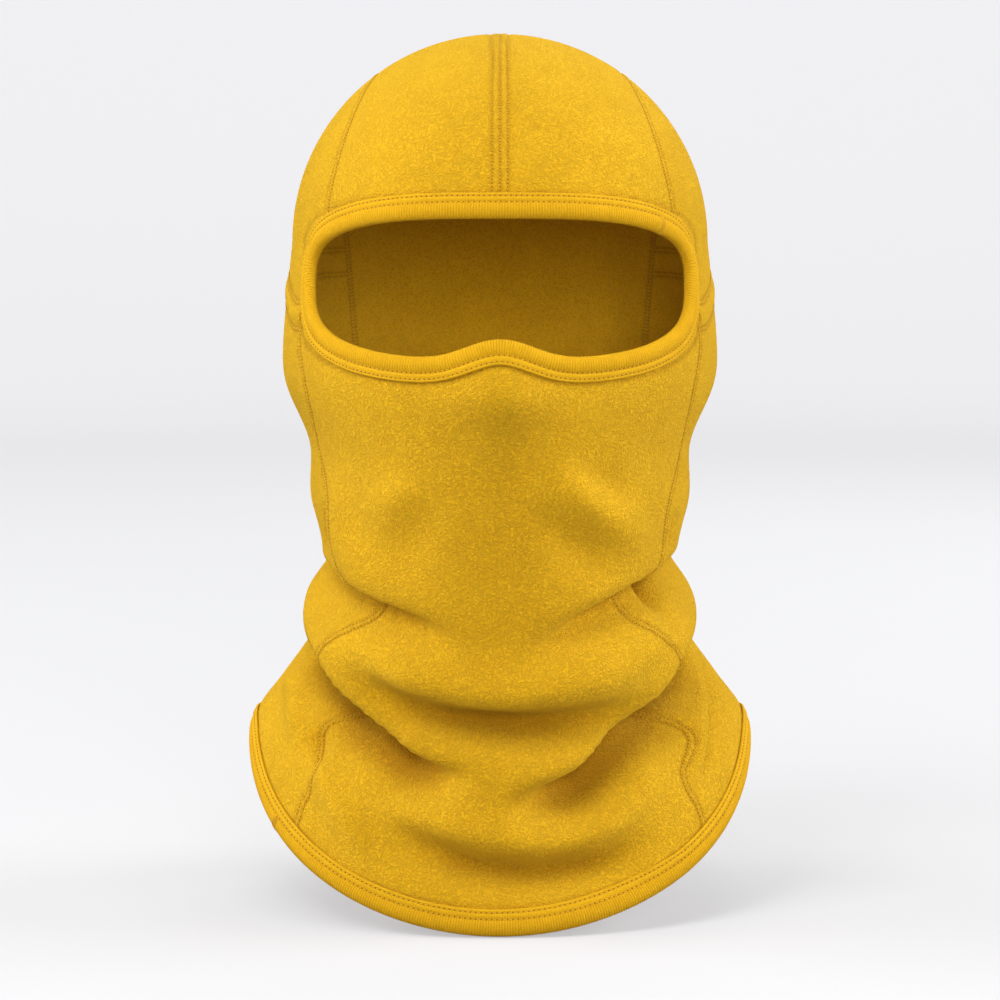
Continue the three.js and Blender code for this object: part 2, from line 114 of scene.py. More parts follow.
# Where the panels meet
CENTER_SEAM = 7.4
LONG_SEAM = 3.2
EAR_SEAM = 2.6
CROWN_BAND = 100.0
CROSS_SEAM_Z = -50.0
EAR_BAND = 10.4
BEHIND_FADE = 20.0
TUCK = 6.0
BINDING_REACH = 9.4
TWIN_ROWS = (5.8, 8.2)
RIB_COLUMNS = 4

# How deep a fold is where its painted shade starts, and how deep it is where the painted shade is
# darkest
HOLLOW_SHADE = (3.0, 15.0)

# Mesh of the cloth
CELL = 1.25
COLUMNS = 448
NEAR_LINE = 0.4
NUDGE = 0.01
SETTLE_STEPS = 60
TWIN_COLUMNS = 720

# How far each kind of thread stands off the cloth
SEAM_LIFT = 0.08
LINING_LIFT = 0.1
TWIN_LIFT = 0.12
BAR_LIFT = 0.15

# The stage, in metres: what the camera and the lights are turned to, and the gap over the floor
TARGET = (0, 0, -0.19)
FLOOR_GAP = 0.0002


def curve(*pairs):
    """A smooth curve through (at, value) pairs."""
    place, value = np.array(sorted(pairs), float).T
    before = np.maximum(np.arange(len(place)) - 1, 0)
    after = np.minimum(np.arange(len(place)) + 1, len(place) - 1)
    slope = (value[after] - value[before]) / (place[after] - place[before])

    def along(at):
        at = np.asarray(at, float)
        i = np.clip(np.searchsorted(place, at) - 1, 0, len(place) - 2)
        span = place[i + 1] - place[i]
        t = np.clip((at - place[i]) / span, 0, 1)
        fall = (1 + 2 * t) * (1 - t) ** 2
        lead = t * (1 - t) ** 2 * span
        tail = t * t * (t - 1) * span
        level = fall * value[i] + (1 - fall) * value[i + 1]
        return level + lead * slope[i] + tail * slope[i + 1]

    return along


half_width = curve(
    (TEMPLE_Z, 83.7), (EAR_Z, 87.45), (LOBE_Z, 86.45), (CHEEK_Z, 76.7), (JAW_Z, 75.7),
    (NECK_Z, 69.2), (ROLL_Z, 77.95), (NOTCH_Z, 77.2), (SHOULDER_Z, 89.2), (HEM_Z + 8, 99.45),
    (HEM_Z, 100.45),
)
front_y = curve(
    (TEMPLE_Z, FOREHEAD_Y), (LOBE_Z, NOSE_Y), (JAW_Z, CHIN_Y - 3), (NECK_Z, CHIN_Y),
    (NOTCH_Z, -95), (HEM_Z, -100),
)
back_y = curve(
    (TEMPLE_Z, SKULL_BACK_Y), (EAR_Z, SKULL_BACK_Y - 1), (CHEEK_Z, NAPE_Y + 12), (NECK_Z, NAPE_Y),
    (NOTCH_Z, NAPE_Y + 7), (HEM_Z, 96),
)
middle_y = curve((TEMPLE_Z, 6), (JAW_Z, -4), (NECK_Z, -8), (HEM_Z, -2))
front_drop = curve((TEMPLE_Z, 0), (JAW_Z, 2), (NECK_Z, 14), (NOTCH_Z, 46), (HEM_Z, HEM_FRONT_DROP))
back_drop = curve((TEMPLE_Z, 0), (NECK_Z, 0), (HEM_Z, HEM_BACK_DROP))
face_half = curve(
    (TEMPLE_Z, 70), (EYE_Z + 13, 71), (EYE_Z, 75), (EYE_Z - 21, 80), (LOBE_Z - 5, 76),
    (CHEEK_Z - 5, 71.5), (JAW_Z, 66), (NECK_Z + 8, 63), (NECK_Z - 2, 59), (ROLL_Z + 16, 51.5),
    (ROLL_Z + 8, 49.5), (ROLL_Z + 2, 51), (NOTCH_Z + 3, 59), (NOTCH_Z - 3, 63.5),
    (SHOULDER_Z + 10, 63.5), (SHOULDER_Z + 1, 57.5), (SHOULDER_Z - 5, 59), (SHOULDER_Z - 10.5, 67),
    (HEM_Z + 7, 73), (HEM_Z + 1, 76.2), (HEM_Z - 6, 75.4), (HEM_Z - 13, 73.3), (HEM_Z - 20, 75.5),
    (HEM_Z - 26, 79), (HEM_Z - 40, 83),
)
back_half = curve((TEMPLE_Z, 66), (CHEEK_Z, 58), (NECK_Z, 46), (HEM_Z - HEM_BACK_DROP, 60))
ear_seam_z = curve((-40, -106.5), (0, -96), (50, -89), (90, -89))


def smoothstep(value, low, high):
    t = np.clip((value - low) / (high - low), 0, 1)
    return t * t * (3 - 2 * t)


def soft_positive(value):
    return (value + np.hypot(value, CORNER_ROUND)) / 2


def section(u, width, front, back, middle):
    total = np.abs(np.sin(u)) ** SECTION_POWER + np.abs(np.cos(u)) ** SECTION_POWER
    grow = total ** (-1 / SECTION_POWER)
    reach = np.where(np.cos(u) > 0, middle - front, back - middle)
    return width * np.sin(u) * grow, middle - reach * np.cos(u) * grow


def drop(u, level):
    """How far the cloth hangs below its level, in front and behind."""
    front = front_drop(level) * soft_positive(np.cos(u))
    return front + back_drop(level) * soft_positive(-np.cos(u)) ** 1.5


def smooth_cloth(u, s):
    """The cloth before its folds: u is the turn from the face, s the length from the crown."""
    u, s = np.broadcast_arrays(np.asarray(u, float), np.asarray(s, float))
    lean = np.clip(s / CROWN_ARC, 0, 1) * math.pi / 2
    shut = np.sin(lean)
    top = s < CROWN_ARC
    level = TEMPLE_Z - np.maximum(s - CROWN_ARC, 0)
    middle = middle_y(level) * np.where(top, shut**2, 1)
    x, y = section(u, half_width(level) * shut, front_y(level) * shut, back_y(level) * shut, middle)
    z = np.where(top, TEMPLE_Z * (1 - np.cos(lean)), level - drop(u, level))
    return np.stack([x, y, z], -1)


def unit(vectors):
    return vectors / np.maximum(np.linalg.norm(vectors, axis=-1, keepdims=True), 1e-9)


def smooth_normal(u, s):
    low = np.maximum(s, 1)
    across = smooth_cloth(u + NUDGE, low) - smooth_cloth(u - NUDGE, low)
    along = smooth_cloth(u, low + 0.1) - smooth_cloth(u, low - 0.1)
    return unit(np.cross(along, across))


def settle(z, turn_at):
    """The turn and length of the point at a height, where turn_at gives the turn at a level."""
    level = z
    for _ in range(SETTLE_STEPS):
        u = turn_at(level)
        level = 0.5 * level + 0.5 * float(z + drop(u, level))
    return u, CROWN_ARC + TEMPLE_Z - level


def on_front(x, z):
    """The turn and length at a place across and a height, on the front half."""
    turns = np.linspace(0, math.pi / 2, 400)

    def turn_at(level):
        outline = half_width(level), front_y(level), back_y(level), middle_y(level)
        across, _depth = section(turns, *outline)
        return float(np.interp(abs(x), across, turns)) * (1 if x > 0 else -1)

    return settle(z, turn_at)


def at_turn(degrees, z):
    """The same for a turn about the head and a height, for places behind the ears."""
    return settle(z, lambda level: math.radians(degrees))


class Fold:
    """A fold along a line from left to right. The cloth above it rolls over the cloth below.

    rise is how far the upper side stands out, sink how far the lower side goes in, tuck how far
    the upper side hangs over, turn half the height of the bend, up and down how far the fold
    spreads, and fade the share of the line over which it grows and over which it dies. A soft
    fold is a ridge with no overhang.
    """

    def __init__(self, line, rise, sink, tuck, turn, up, down, fade, soft=False):
        knots = np.array(line, float)
        knots[:, 0] = np.unwrap(knots[:, 0])
        at = np.arange(len(knots))
        fine = np.linspace(0, len(knots) - 1, 6 * (len(knots) - 1) + 1)
        u = curve(*zip(at, knots[:, 0]))(fine)
        s = curve(*zip(at, knots[:, 1]))(fine)
        self.points = smooth_cloth(u, s)
        step = np.linalg.norm(np.diff(self.points, axis=0), axis=1)
        self.share = np.concatenate([[0], np.cumsum(step)]) / step.sum()
        self.rise, self.sink, self.tuck, self.turn = rise, sink, tuck, turn
        self.up, self.down, self.fade, self.soft = up, down, fade, soft
        self.reach = 2.6 * max(up, down) + turn

    def add(self, place, normal, height, shift):
        low, high = self.points.min(0) - self.reach, self.points.max(0) + self.reach
        rows = np.flatnonzero(np.all((place > low) & (place < high), axis=1))
        p, n = place[rows], normal[rows]
        best = np.full(len(rows), 1e9)
        share = np.zeros(len(rows))
        offset = np.zeros((len(rows), 3))
        tangent = np.zeros((len(rows), 3))
        for k in range(len(self.points) - 1):
            a, b = self.points[k], self.points[k + 1]
            t = np.clip((p - a) @ (b - a) / ((b - a) @ (b - a)), 0, 1)
            away = p - a - t[:, None] * (b - a)
            far = np.einsum("ij,ij->i", away, away)
            near = far < best
            best[near] = far[near]
            share[near] = (self.share[k] + t * (self.share[k + 1] - self.share[k]))[near]
            offset[near] = away[near]
            tangent[near] = unit(b - a)
        below = unit(np.cross(tangent, n))
        far = np.sqrt(best)
        d = -np.sign(np.einsum("ij,ij->i", offset, below)) * far
        strength = smoothstep(share, 0, self.fade[0]) * smoothstep(1 - share, 0, self.fade[1])
        if self.soft:
            spread = np.where(d > 0, self.up, self.down)
            height[rows] += strength * self.rise * np.exp(-((d / spread) ** 2))
            return
        bend = smoothstep(d, -self.turn, self.turn)
        above = np.exp(-((np.maximum(d - self.turn, 0) / self.up) ** 2))
        under = np.exp(-((np.maximum(-d - self.turn, 0) / self.down) ** 2))
        height[rows] += strength * (bend * above * self.rise - (1 - bend) * under * self.sink)
        hang = np.exp(-((np.maximum(d - self.turn, 0) / (1.4 * self.up)) ** 2))
        shift[rows] += (strength * bend * hang * self.tuck)[:, None] * below


def ridge(line, rise, up, down, fade):
    """A soft fold: a ridge, or a valley where rise is below nought."""
    return Fold(line, rise, 0, 0.0, 2.5, up, down, fade, soft=True)


@functools.lru_cache(maxsize=1)
def folds():
    """The folds of the cloth as it hangs, each with its line on the cloth."""
    f, t = on_front, at_turn
    return [
        # the face drape over the neck, to the left and to the right of the chin
        Fold([t(-125, -203), t(-100, -205), t(-80, -207), f(-62, -211), f(-47, -218), f(-30, -225),
              f(-11, -236), f(-2, -241)],
             4.2, 8.0, tuck=4.8, turn=4.0, up=13, down=10, fade=(0.6, 0.3)),
        Fold([f(3, -243), f(16, -233), f(36, -220), f(52, -212), f(64, -207), t(82, -205),
              t(100, -205), t(125, -203)],
             4.2, 8.8, tuck=4.8, turn=4.2, up=13, down=10, fade=(0.28, 0.6)),
        # the neck roll over the bib
        Fold([t(-118, -226), t(-100, -229), t(-82, -233), f(-66, -246), f(-56, -259), f(-47, -268),
              f(-33, -278), f(-20, -286), f(-5, -293)],
             8.0, 17.0, tuck=7.0, turn=5.5, up=11, down=22, fade=(0.62, 0.2)),
        Fold([f(-3, -304), f(16, -291), f(33, -279), f(45, -269), f(58, -258), f(66, -247),
              t(84, -233), t(100, -229), t(118, -226)],
             7.5, 20.0, tuck=8.0, turn=5.5, up=12, down=20, fade=(0.2, 0.62)),
        # the hollow across the throat, and the one across the bib
        Fold([f(-58, -244), f(-44, -249), f(-31, -254), f(-11, -259), f(6, -260), f(23, -258),
              f(43, -253), f(60, -245)],
             6.4, 13.0, tuck=7.0, turn=8.0, up=10, down=12, fade=(0.26, 0.26)),
        Fold([f(-52, -305), f(-40, -309), f(-25, -313), f(-11, -317), f(9, -320), f(29, -319),
              f(49, -315), f(66, -307)],
             3.6, 9.5, tuck=4.5, turn=7.5, up=9, down=12, fade=(0.35, 0.35)),
        # crests under the chin, with a gap between them
        ridge([f(-66, -232), f(-50, -240), f(-32, -244), f(-10, -246)], 3.6, 6, 7, (0.3, 0.4)),
        ridge([f(4, -250), f(26, -243), f(48, -239), f(64, -231)], 3.6, 6, 7, (0.4, 0.3)),
        # crests on the bib
        ridge([f(-70, -282), f(-58, -293), f(-39, -304), f(-10, -308)], 4.4, 8, 8, (0.4, 0.4)),
        ridge([f(12, -311), f(47, -303), f(62, -291), f(71, -278)], 4.2, 8, 8, (0.4, 0.4)),
        ridge([f(-77, -283), f(-63, -307), f(-49, -329)], 4.6, 6, 6, (0.35, 0.45)),
        # the shoulders: a ridge and a valley on the left, a layered pleat on the right
        ridge([f(-88, -258), f(-83, -270), f(-80, -288)], 4.5, 6, 5, (0.3, 0.4)),
        ridge([f(-76, -276), f(-74, -288), f(-72, -299)], -4.0, 4.5, 4.5, (0.35, 0.4)),
        Fold([f(80, -302), f(80, -286), f(82, -272), f(85, -256)],
             4.0, 4.0, tuck=3.5, turn=2.2, up=7, down=7, fade=(0.35, 0.35)),
        ridge([f(-81, -244), f(-73, -256), f(-63, -267), f(-50, -276)], -9.0, 7, 8, (0.35, 0.4)),
        ridge([f(54, -274), f(66, -262), f(78, -246)], -12.0, 8, 8, (0.35, 0.4)),
        # the pocket beside the right end of the face drape
        ridge([f(65, -206), f(62, -217), f(59, -230)], -11.0, 5, 5, (0.3, 0.4)),
        # long soft folds from the nose to the jaw
        ridge([f(-67, -172), f(-63, -192), f(-51, -205), f(-28, -213)], 4.6, 9, 9, (0.4, 0.5)),
        ridge([f(-52, -194), f(-27, -171)], 2.2, 7, 7, (0.5, 0.5)),
        ridge([f(-50, -212), f(-32, -196), f(-14, -172)], -1.5, 8, 8, (0.5, 0.5)),
        ridge([f(14, -164), f(39, -187), f(60, -200)], 5.2, 8, 8, (0.4, 0.45)),
        ridge([f(3, -180), f(31, -202), f(48, -212)], -2.0, 7, 7, (0.4, 0.5)),
        ridge([f(24, -166), f(56, -185)], -1.8, 7, 7, (0.5, 0.5)),
        ridge([f(-1, -156), f(-1, -200), f(-1, -252)], -2.2, 8, 8, (0.3, 0.2)),
        # creases at the jaw
        ridge([f(-66, -183), f(-68, -194), f(-66, -205)], -2.4, 3, 3, (0.4, 0.4)),
        ridge([f(69, -186), f(66, -196), f(62, -204)], -2.4, 3, 3, (0.4, 0.4)),
    ]


def fall(u, s):
    """Points of the cloth's inside as it hangs, and how far each is out of the smooth cloth."""
    place, normal = smooth_cloth(u, s), smooth_normal(u, s)
    height = np.zeros(len(u))
    shift = np.zeros((len(u), 3))
    x, z = place[:, 0], place[:, 2]
    ahead = place[:, 1] < 0
    spread = np.where(z > NOSE_RIDGE_Z, NOSE_RIDGE_UP, NOSE_RIDGE_DOWN)
    bridge = np.exp(-((x / NOSE_RIDGE_ACROSS) ** 2)) * np.exp(-(((z - NOSE_RIDGE_Z) / spread) ** 2))
    height += np.where(ahead, NOSE_RIDGE * bridge, 0)
    for fold in folds():
        fold.add(place, normal, height, shift)
    return place + normal * height[:, None] + shift, height


def hung_cloth(u, s):
    """The cloth as it hangs, with its folds, for points in an array of any shape."""
    place, _height = fall(np.ravel(u), np.ravel(s))
    return place.reshape(*np.shape(u), 3)


def distance_from(measure):
    """The signed length from the line where a measure is nought, and the way it grows."""

    def distance(u, s):
        low = np.maximum(s, 1)
        at = smooth_cloth(u, low)
        turned = smooth_cloth(u + NUDGE, low)
        lower = smooth_cloth(u, low + NUDGE)
        base = measure(at, u, low)
        du = (measure(turned, u + NUDGE, low) - base) / NUDGE
        ds = (measure(lower, u, low + NUDGE) - base) / NUDGE
        across = (turned - at) / NUDGE
        along = (lower - at) / NUDGE
        uu = (across**2).sum(-1)
        us = (across * along).sum(-1)
        ss = (along**2).sum(-1)
        area = uu * ss - us * us
        to_u = (ss * du - us * ds) / area
        to_s = (uu * ds - us * du) / area
        steep = np.sqrt(np.maximum(to_u * du + to_s * ds, 1e-12))
        return measure(smooth_cloth(u, s), u, s) / steep, to_u / steep, to_s / steep

    return distance


def length_to_hem(place, u, s):
    steps = 8
    places = [smooth_cloth(u, s + (CLOTH_LENGTH - s) * i / steps) for i in range(steps + 1)]
    length = sum(np.linalg.norm(b - a, axis=-1) for a, b in zip(places, places[1:]))
    return length * np.sign(CLOTH_LENGTH - s)


def eye_measure(place, u, s):
    x, y, z = place[..., 0], place[..., 1], place[..., 2]
    rise = NOSE_RISE * np.exp(-((x / NOSE_SPREAD) ** 2))
    reach = EYE_HEIGHT / 2 - np.where(z < EYE_Z, rise, 0)
    past = np.maximum(y + EYE_CHEEK_DEPTH, 0) ** 2 / EYE_CHEEK_DEPTH
    across = ((np.abs(x) + past) / (EYE_WIDTH / 2)) ** EYE_CORNER
    return (across + np.abs((z - EYE_Z) / reach) ** EYE_CORNER) ** (1 / EYE_CORNER) - 1


def side_seam_measure(place, u, s):
    x, y, z = place[..., 0], place[..., 1], place[..., 2]
    behind = smoothstep(y, -BEHIND_FADE, BEHIND_FADE)
    end = face_half(z) * (1 - behind) + back_half(z) * behind
    above = np.maximum(z - TEMPLE_Z, 0) + BEHIND_FADE / 2
    upright = (np.abs(y) / np.hypot(y, above)) ** 1.5
    return np.abs(x) - (CROWN_BAND / 2 * (1 - upright) + end * upright)


from_hem = distance_from(length_to_hem)
from_eye = distance_from(eye_measure)
from_side_seam = distance_from(side_seam_measure)
from_cross_seam = distance_from(
    lambda place, u, s: place[..., 2] - CROSS_SEAM_Z - 2 * np.minimum(place[..., 1], 0))
from_center = distance_from(lambda place, u, s: place[..., 0])
from_upper_ear = distance_from(lambda place, u, s: place[..., 2] - ear_seam_z(place[..., 1]))
from_lower_ear = distance_from(
    lambda place, u, s: place[..., 2] - ear_seam_z(place[..., 1]) + EAR_BAND)


class Pattern:
    """Points on the cloth, and triangles between them with the piece that each is in."""

    def __init__(self):
        rows = round(CLOTH_LENGTH / CELL)
        step = CLOTH_LENGTH / rows
        us, ss, rings = [np.zeros(1)], [np.zeros(1)], [np.array([0])]
        made = 1
        for k in range(1, rows + 1):
            count = min(6 * k, COLUMNS)
            us.append(2 * math.pi * np.arange(count) / count)
            ss.append(np.full(count, k * step))
            rings.append(made + np.arange(count))
            made += count
        self.u, self.s = np.concatenate(us), np.concatenate(ss)
        between = [self.between_rings(a, b) for a, b in zip(rings, rings[1:])]
        self.tri = np.concatenate(between)
        self.piece = np.full(len(self.tri), "cloth", dtype="U24")

    @staticmethod
    def between_rings(inner, outer):
        n, m = len(inner), len(outer)
        if n == m:
            a, b, c, d = inner, outer, np.roll(outer, -1), np.roll(inner, -1)
            return np.concatenate([np.stack([a, b, d], 1), np.stack([b, c, d], 1)])
        if n == 1:
            return np.stack([np.full(m, inner[0]), outer, np.roll(outer, -1)], 1)
        made = []
        i = j = 0
        while i < n or j < m:
            a, b = inner[i % n], outer[j % m]
            if (i + 0.5) / n < (j + 0.5) / m:
                i += 1
                made.append((a, b, inner[i % n]))
            else:
                j += 1
                made.append((a, b, outer[j % m]))
        return np.array(made)

    def cut(self, piece, distance, offset, below, above):
        """Cuts a piece along the line at an offset, and names the part on each side."""
        rows = np.flatnonzero(self.piece == piece)
        if len(rows) == 0:
            raise RuntimeError(f"there is no piece named {piece} to cut")
        used = np.unique(self.tri[rows])
        value = np.zeros(len(self.u))
        found, to_u, to_s = distance(self.u[used], self.s[used])
        found = found - offset
        near = np.abs(found) < NEAR_LINE
        at_end = (self.s[used] > CLOTH_LENGTH - 1e-6) | (self.s[used] < 1e-6)
        move = used[near & ~at_end]
        self.u[move] -= (found * to_u)[near & ~at_end]
        moved = self.s[move] - (found * to_s)[near & ~at_end]
        self.s[move] = np.clip(moved, 0.2, CLOTH_LENGTH - 0.05)
        found[near] = 0
        value[used] = found
        sign = np.sign(value)[self.tri[rows]]
        mixed = (sign.max(1) > 0) & (sign.min(1) < 0)
        plain = rows[~mixed]
        self.piece[plain] = np.where(sign[~mixed].sum(1) < 0, below, above)
        tri, sign = self.tri[rows[mixed]], sign[mixed]
        mid = np.full(tri.shape, -1)
        crossed, keys, ends = [], [], []
        for i in range(3):
            a, b = tri[:, i], tri[:, (i + 1) % 3]
            cross = sign[:, i] * sign[:, (i + 1) % 3] < 0
            crossed.append(cross)
            low, high = np.minimum(a, b)[cross], np.maximum(a, b)[cross]
            keys.append(low * len(self.u) + high)
            ends.append(np.stack([low, high], 1))
        unique, first, back = np.unique(
            np.concatenate(keys), return_index=True, return_inverse=True)
        low, high = np.concatenate(ends)[first].T
        t = value[low] / (value[low] - value[high])
        around = self.u[high] - self.u[low]
        around -= 2 * math.pi * np.round(around / (2 * math.pi))
        start = np.where(self.s[low] < 1e-6, self.u[high], self.u[low])
        around = np.where((self.s[low] < 1e-6) | (self.s[high] < 1e-6), 0, around)
        fresh = len(self.u) + np.arange(len(unique))
        self.u = np.concatenate([self.u, start + around * t])
        self.s = np.concatenate([self.s, self.s[low] + (self.s[high] - self.s[low]) * t])
        done = 0
        for i in range(3):
            count = int(crossed[i].sum())
            mid[crossed[i], i] = fresh[back[done:done + count]]
            done += count
        parts, names = [], []

        def keep(a, b, c, side):
            parts.append(np.stack([a, b, c], 1))
            names.append(np.where(side < 0, below, above))

        for i in range(3):
            j, k = (i + 1) % 3, (i + 2) % 3
            lone = (mid[:, i] >= 0) & (mid[:, k] >= 0)
            a, b, c = tri[lone, i], tri[lone, j], tri[lone, k]
            m, n = mid[lone, i], mid[lone, k]
            keep(a, m, n, sign[lone, i])
            keep(m, b, c, sign[lone, j])
            keep(m, c, n, sign[lone, j])
            split = (mid[:, j] >= 0) & (mid[:, i] < 0) & (mid[:, k] < 0)
            a, b, c, m = tri[split, i], tri[split, j], tri[split, k], mid[split, j]
            keep(a, b, m, sign[split, j])
            keep(a, m, c, sign[split, k])
        others = np.setdiff1d(np.arange(len(self.tri)), rows[mixed])
        self.tri = np.concatenate([self.tri[others], *parts])
        self.piece = np.concatenate([self.piece[others], *names]).astype("U24")

    def strip(self, piece, distance, width, below, name, above):
        self.cut(piece, distance, width / 2, "uncut", above)
        self.cut("uncut", distance, -width / 2, below, name)

    def score(self, piece, distance, offsets):
        """Adds lines of points along a strip, so that its shape is true across its width."""
        for offset in offsets:
            self.cut(piece, distance, offset, piece, piece)

    def rename(self, piece, name_at):
        rows = np.flatnonzero(self.piece == piece)
        centre = smooth_cloth(self.u[self.tri[rows]], self.s[self.tri[rows]]).mean(1)
        self.piece[rows] = name_at(centre)


# For each line of seams: its width, its distance, its lines of points and its needle rows
LONG_POINTS = (-1.1, 0.0, 1.1)
LONG_ROWS = (-1.1, 1.1)
EAR_POINTS = (-0.8, 0.0, 0.8)
EAR_ROWS = (-0.8, 0.8)
SEAM_LINES = {
    "center": (CENTER_SEAM, from_center, (-2.9, -1.5, 0.0, 1.5, 2.9), (-2.9, 2.9, 0.0)),
    "long": (LONG_SEAM, from_side_seam, LONG_POINTS, LONG_ROWS),
    "cross": (LONG_SEAM, from_cross_seam, LONG_POINTS, LONG_ROWS),
    "upper": (EAR_SEAM, from_upper_ear, EAR_POINTS, EAR_ROWS),
    "lower": (EAR_SEAM, from_lower_ear, EAR_POINTS, EAR_ROWS),
}

# Which line each seam is on
SEAMS = {
    "crown_center_seam": "center",
    "crown_cross_seam": "cross",
    "crown_seam_left": "long",
    "crown_seam_right": "long",
    "back_seam_left": "long",
    "back_seam_right": "long",
    "face_seam_left": "long",
    "face_seam_right": "long",
    "ear_seam_upper_left": "upper",
    "ear_seam_upper_right": "upper",
    "ear_seam_lower_left": "lower",
    "ear_seam_lower_right": "lower",
}


def sided(prefix):
    return lambda place: np.where(place[:, 0] < 0, prefix + "left", prefix + "right")


@functools.lru_cache(maxsize=1)
def sewn_cloth():
    """The whole cloth, cut into its panels and seams and hung in its folds."""
    cloth = Pattern()
    cloth.cut("cloth", from_hem, TUCK, "waste", "cloth")
    cloth.cut("cloth", from_eye, TUCK, "waste", "cloth")
    cloth.cut("cloth", from_side_seam, LONG_SEAM / 2, "uncut", "side")
    cloth.cut("uncut", from_side_seam, -LONG_SEAM / 2, "middle", "long_seam")
    cloth.score("long_seam", from_side_seam, SEAM_LINES["long"][2])

    def in_face(place):
        return (place[:, 1] < 0) & (place[:, 2] < EYE_Z)

    def long_seam(place):
        return np.where(in_face(place), sided("face_seam_")(place), sided("top_seam_")(place))

    cloth.rename("long_seam", long_seam)
    for side in SIDES:
        back, crown = "back_seam_" + side, "crown_seam_" + side
        cloth.cut("top_seam_" + side, from_cross_seam, 0, back, crown)
    cloth.rename("middle", lambda p: np.where(in_face(p), "face_panel", "crown"))
    cloth.strip("crown", from_cross_seam, LONG_SEAM, "back_panel", "crown_cross_seam", "crown_top")
    cloth.score("crown_cross_seam", from_cross_seam, SEAM_LINES["cross"][2])
    center = "crown_center_seam"
    cloth.strip("crown_top", from_center, CENTER_SEAM, "crown_left", center, "crown_right")
    cloth.score(center, from_center, SEAM_LINES["center"][2])
    cloth.rename("side", sided("side_"))
    for side in SIDES:
        upper, lower = "ear_seam_upper_" + side, "ear_seam_lower_" + side
        cloth.strip("side_" + side, from_upper_ear, EAR_SEAM, "ear_part", upper, "temple_" + side)
        cloth.strip("ear_part", from_lower_ear, EAR_SEAM, "side_" + side, lower, "ear_band_" + side)
        cloth.score(upper, from_upper_ear, SEAM_LINES["upper"][2])
        cloth.score(lower, from_lower_ear, SEAM_LINES["lower"][2])
    cloth.distances = {name: line[1](cloth.u, cloth.s)[0] for name, line in SEAM_LINES.items()}
    cloth.distances["eye"] = from_eye(cloth.u, cloth.s)[0]
    cloth.distances["hem"] = from_hem(cloth.u, cloth.s)[0]
    cloth.place, height = fall(cloth.u, cloth.s)
    # painted shade in the folds: the deeper the cloth sinks, the darker it is painted
    cloth.hollow = smoothstep(-height, *HOLLOW_SHADE)
    cloth.normal = point_normals(cloth.place, cloth.tri)
    return cloth


def point_normals(place, tri):
    a, b, c = place[tri[:, 0]], place[tri[:, 1]], place[tri[:, 2]]
    face = np.cross(b - a, c - a)
    total = np.zeros_like(place)
    for i in range(3):
        for axis in range(3):
            total[:, axis] += np.bincount(tri[:, i], face[:, axis], len(place))
    return unit(total)


def seam_relief(d, width, rows, rise, ditch):
    """The height of a flat seam and of the cloth that dips beside it, across the seam."""
    half = width / 2
    inside = np.abs(d) < half
    crown = rise * (1 - np.clip(np.abs(d) / half, 0, 1) ** 4)
    grooves = sum(ditch * np.exp(-(((d - row) / 0.42) ** 2)) for row in rows)
    dip = -0.25 * np.exp(-(np.maximum(np.abs(d) - half, 0) / 1.2) ** 2)
    return np.where(inside, crown - grooves, 0) + dip


def cloth_relief(cloth, sizes):
    """How far the seams stand above the cloth, and the painted shade in their needle rows, along
    their edges and in the dip beside each binding.
    """
    rise, ditch = sizes.seam_rise / MM, sizes.needle_ditch / MM
    d = cloth.distances
    place = smooth_cloth(cloth.u, cloth.s)
    in_middle = d["long"] < -LONG_SEAM / 2 - 0.01
    behind = place[:, 1] > -30
    over = {
        "long": np.ones(len(cloth.u), bool),
        "center": in_middle & (d["cross"] > LONG_SEAM / 2 - 0.01) & (place[:, 2] > EYE_Z),
        "cross": in_middle & behind & (place[:, 2] > EYE_Z),
        "upper": d["long"] > LONG_SEAM / 2 - 0.01,
        "lower": d["long"] > LONG_SEAM / 2 - 0.01,
    }
    height = np.zeros(len(cloth.u))
    shade = np.zeros(len(cloth.u))
    for name, (width, _distance, _points, rows) in SEAM_LINES.items():
        relief = seam_relief(d[name], width, rows, rise, ditch)
        height += np.where(over[name], relief, 0)
        # painted shade in the needle rows and in the dip along each edge of the seam
        dark = sum(np.exp(-(((d[name] - row) / 0.4) ** 2)) for row in rows)
        edge = np.exp(-(((np.abs(d[name]) - width / 2) / 0.5) ** 2))
        dark = np.clip(0.6 * dark + 0.25 * edge, 0, 1)
        shade = np.maximum(shade, np.where(over[name], dark, 0))
    # the cloth dips beside each binding, and painted shade darkens the dip
    for name in ("eye", "hem"):
        edge = np.exp(-(((d[name] - BINDING_REACH) / 1.4) ** 2))
        height -= 0.35 * edge
        shade = np.maximum(shade, 0.6 * np.exp(-(((d[name] - BINDING_REACH) / 0.7) ** 2)))
    puff = np.exp(-(((d["upper"] + EAR_BAND / 2) / (EAR_BAND * 0.33)) ** 2))
    height += np.where(over["upper"], 0.9 * puff, 0)
    return height, shade


def edge_keys(edges, count):
    """One number for each edge, from its first point to its second."""
    return edges[:, 0].astype(np.int64) * count + edges[:, 1]


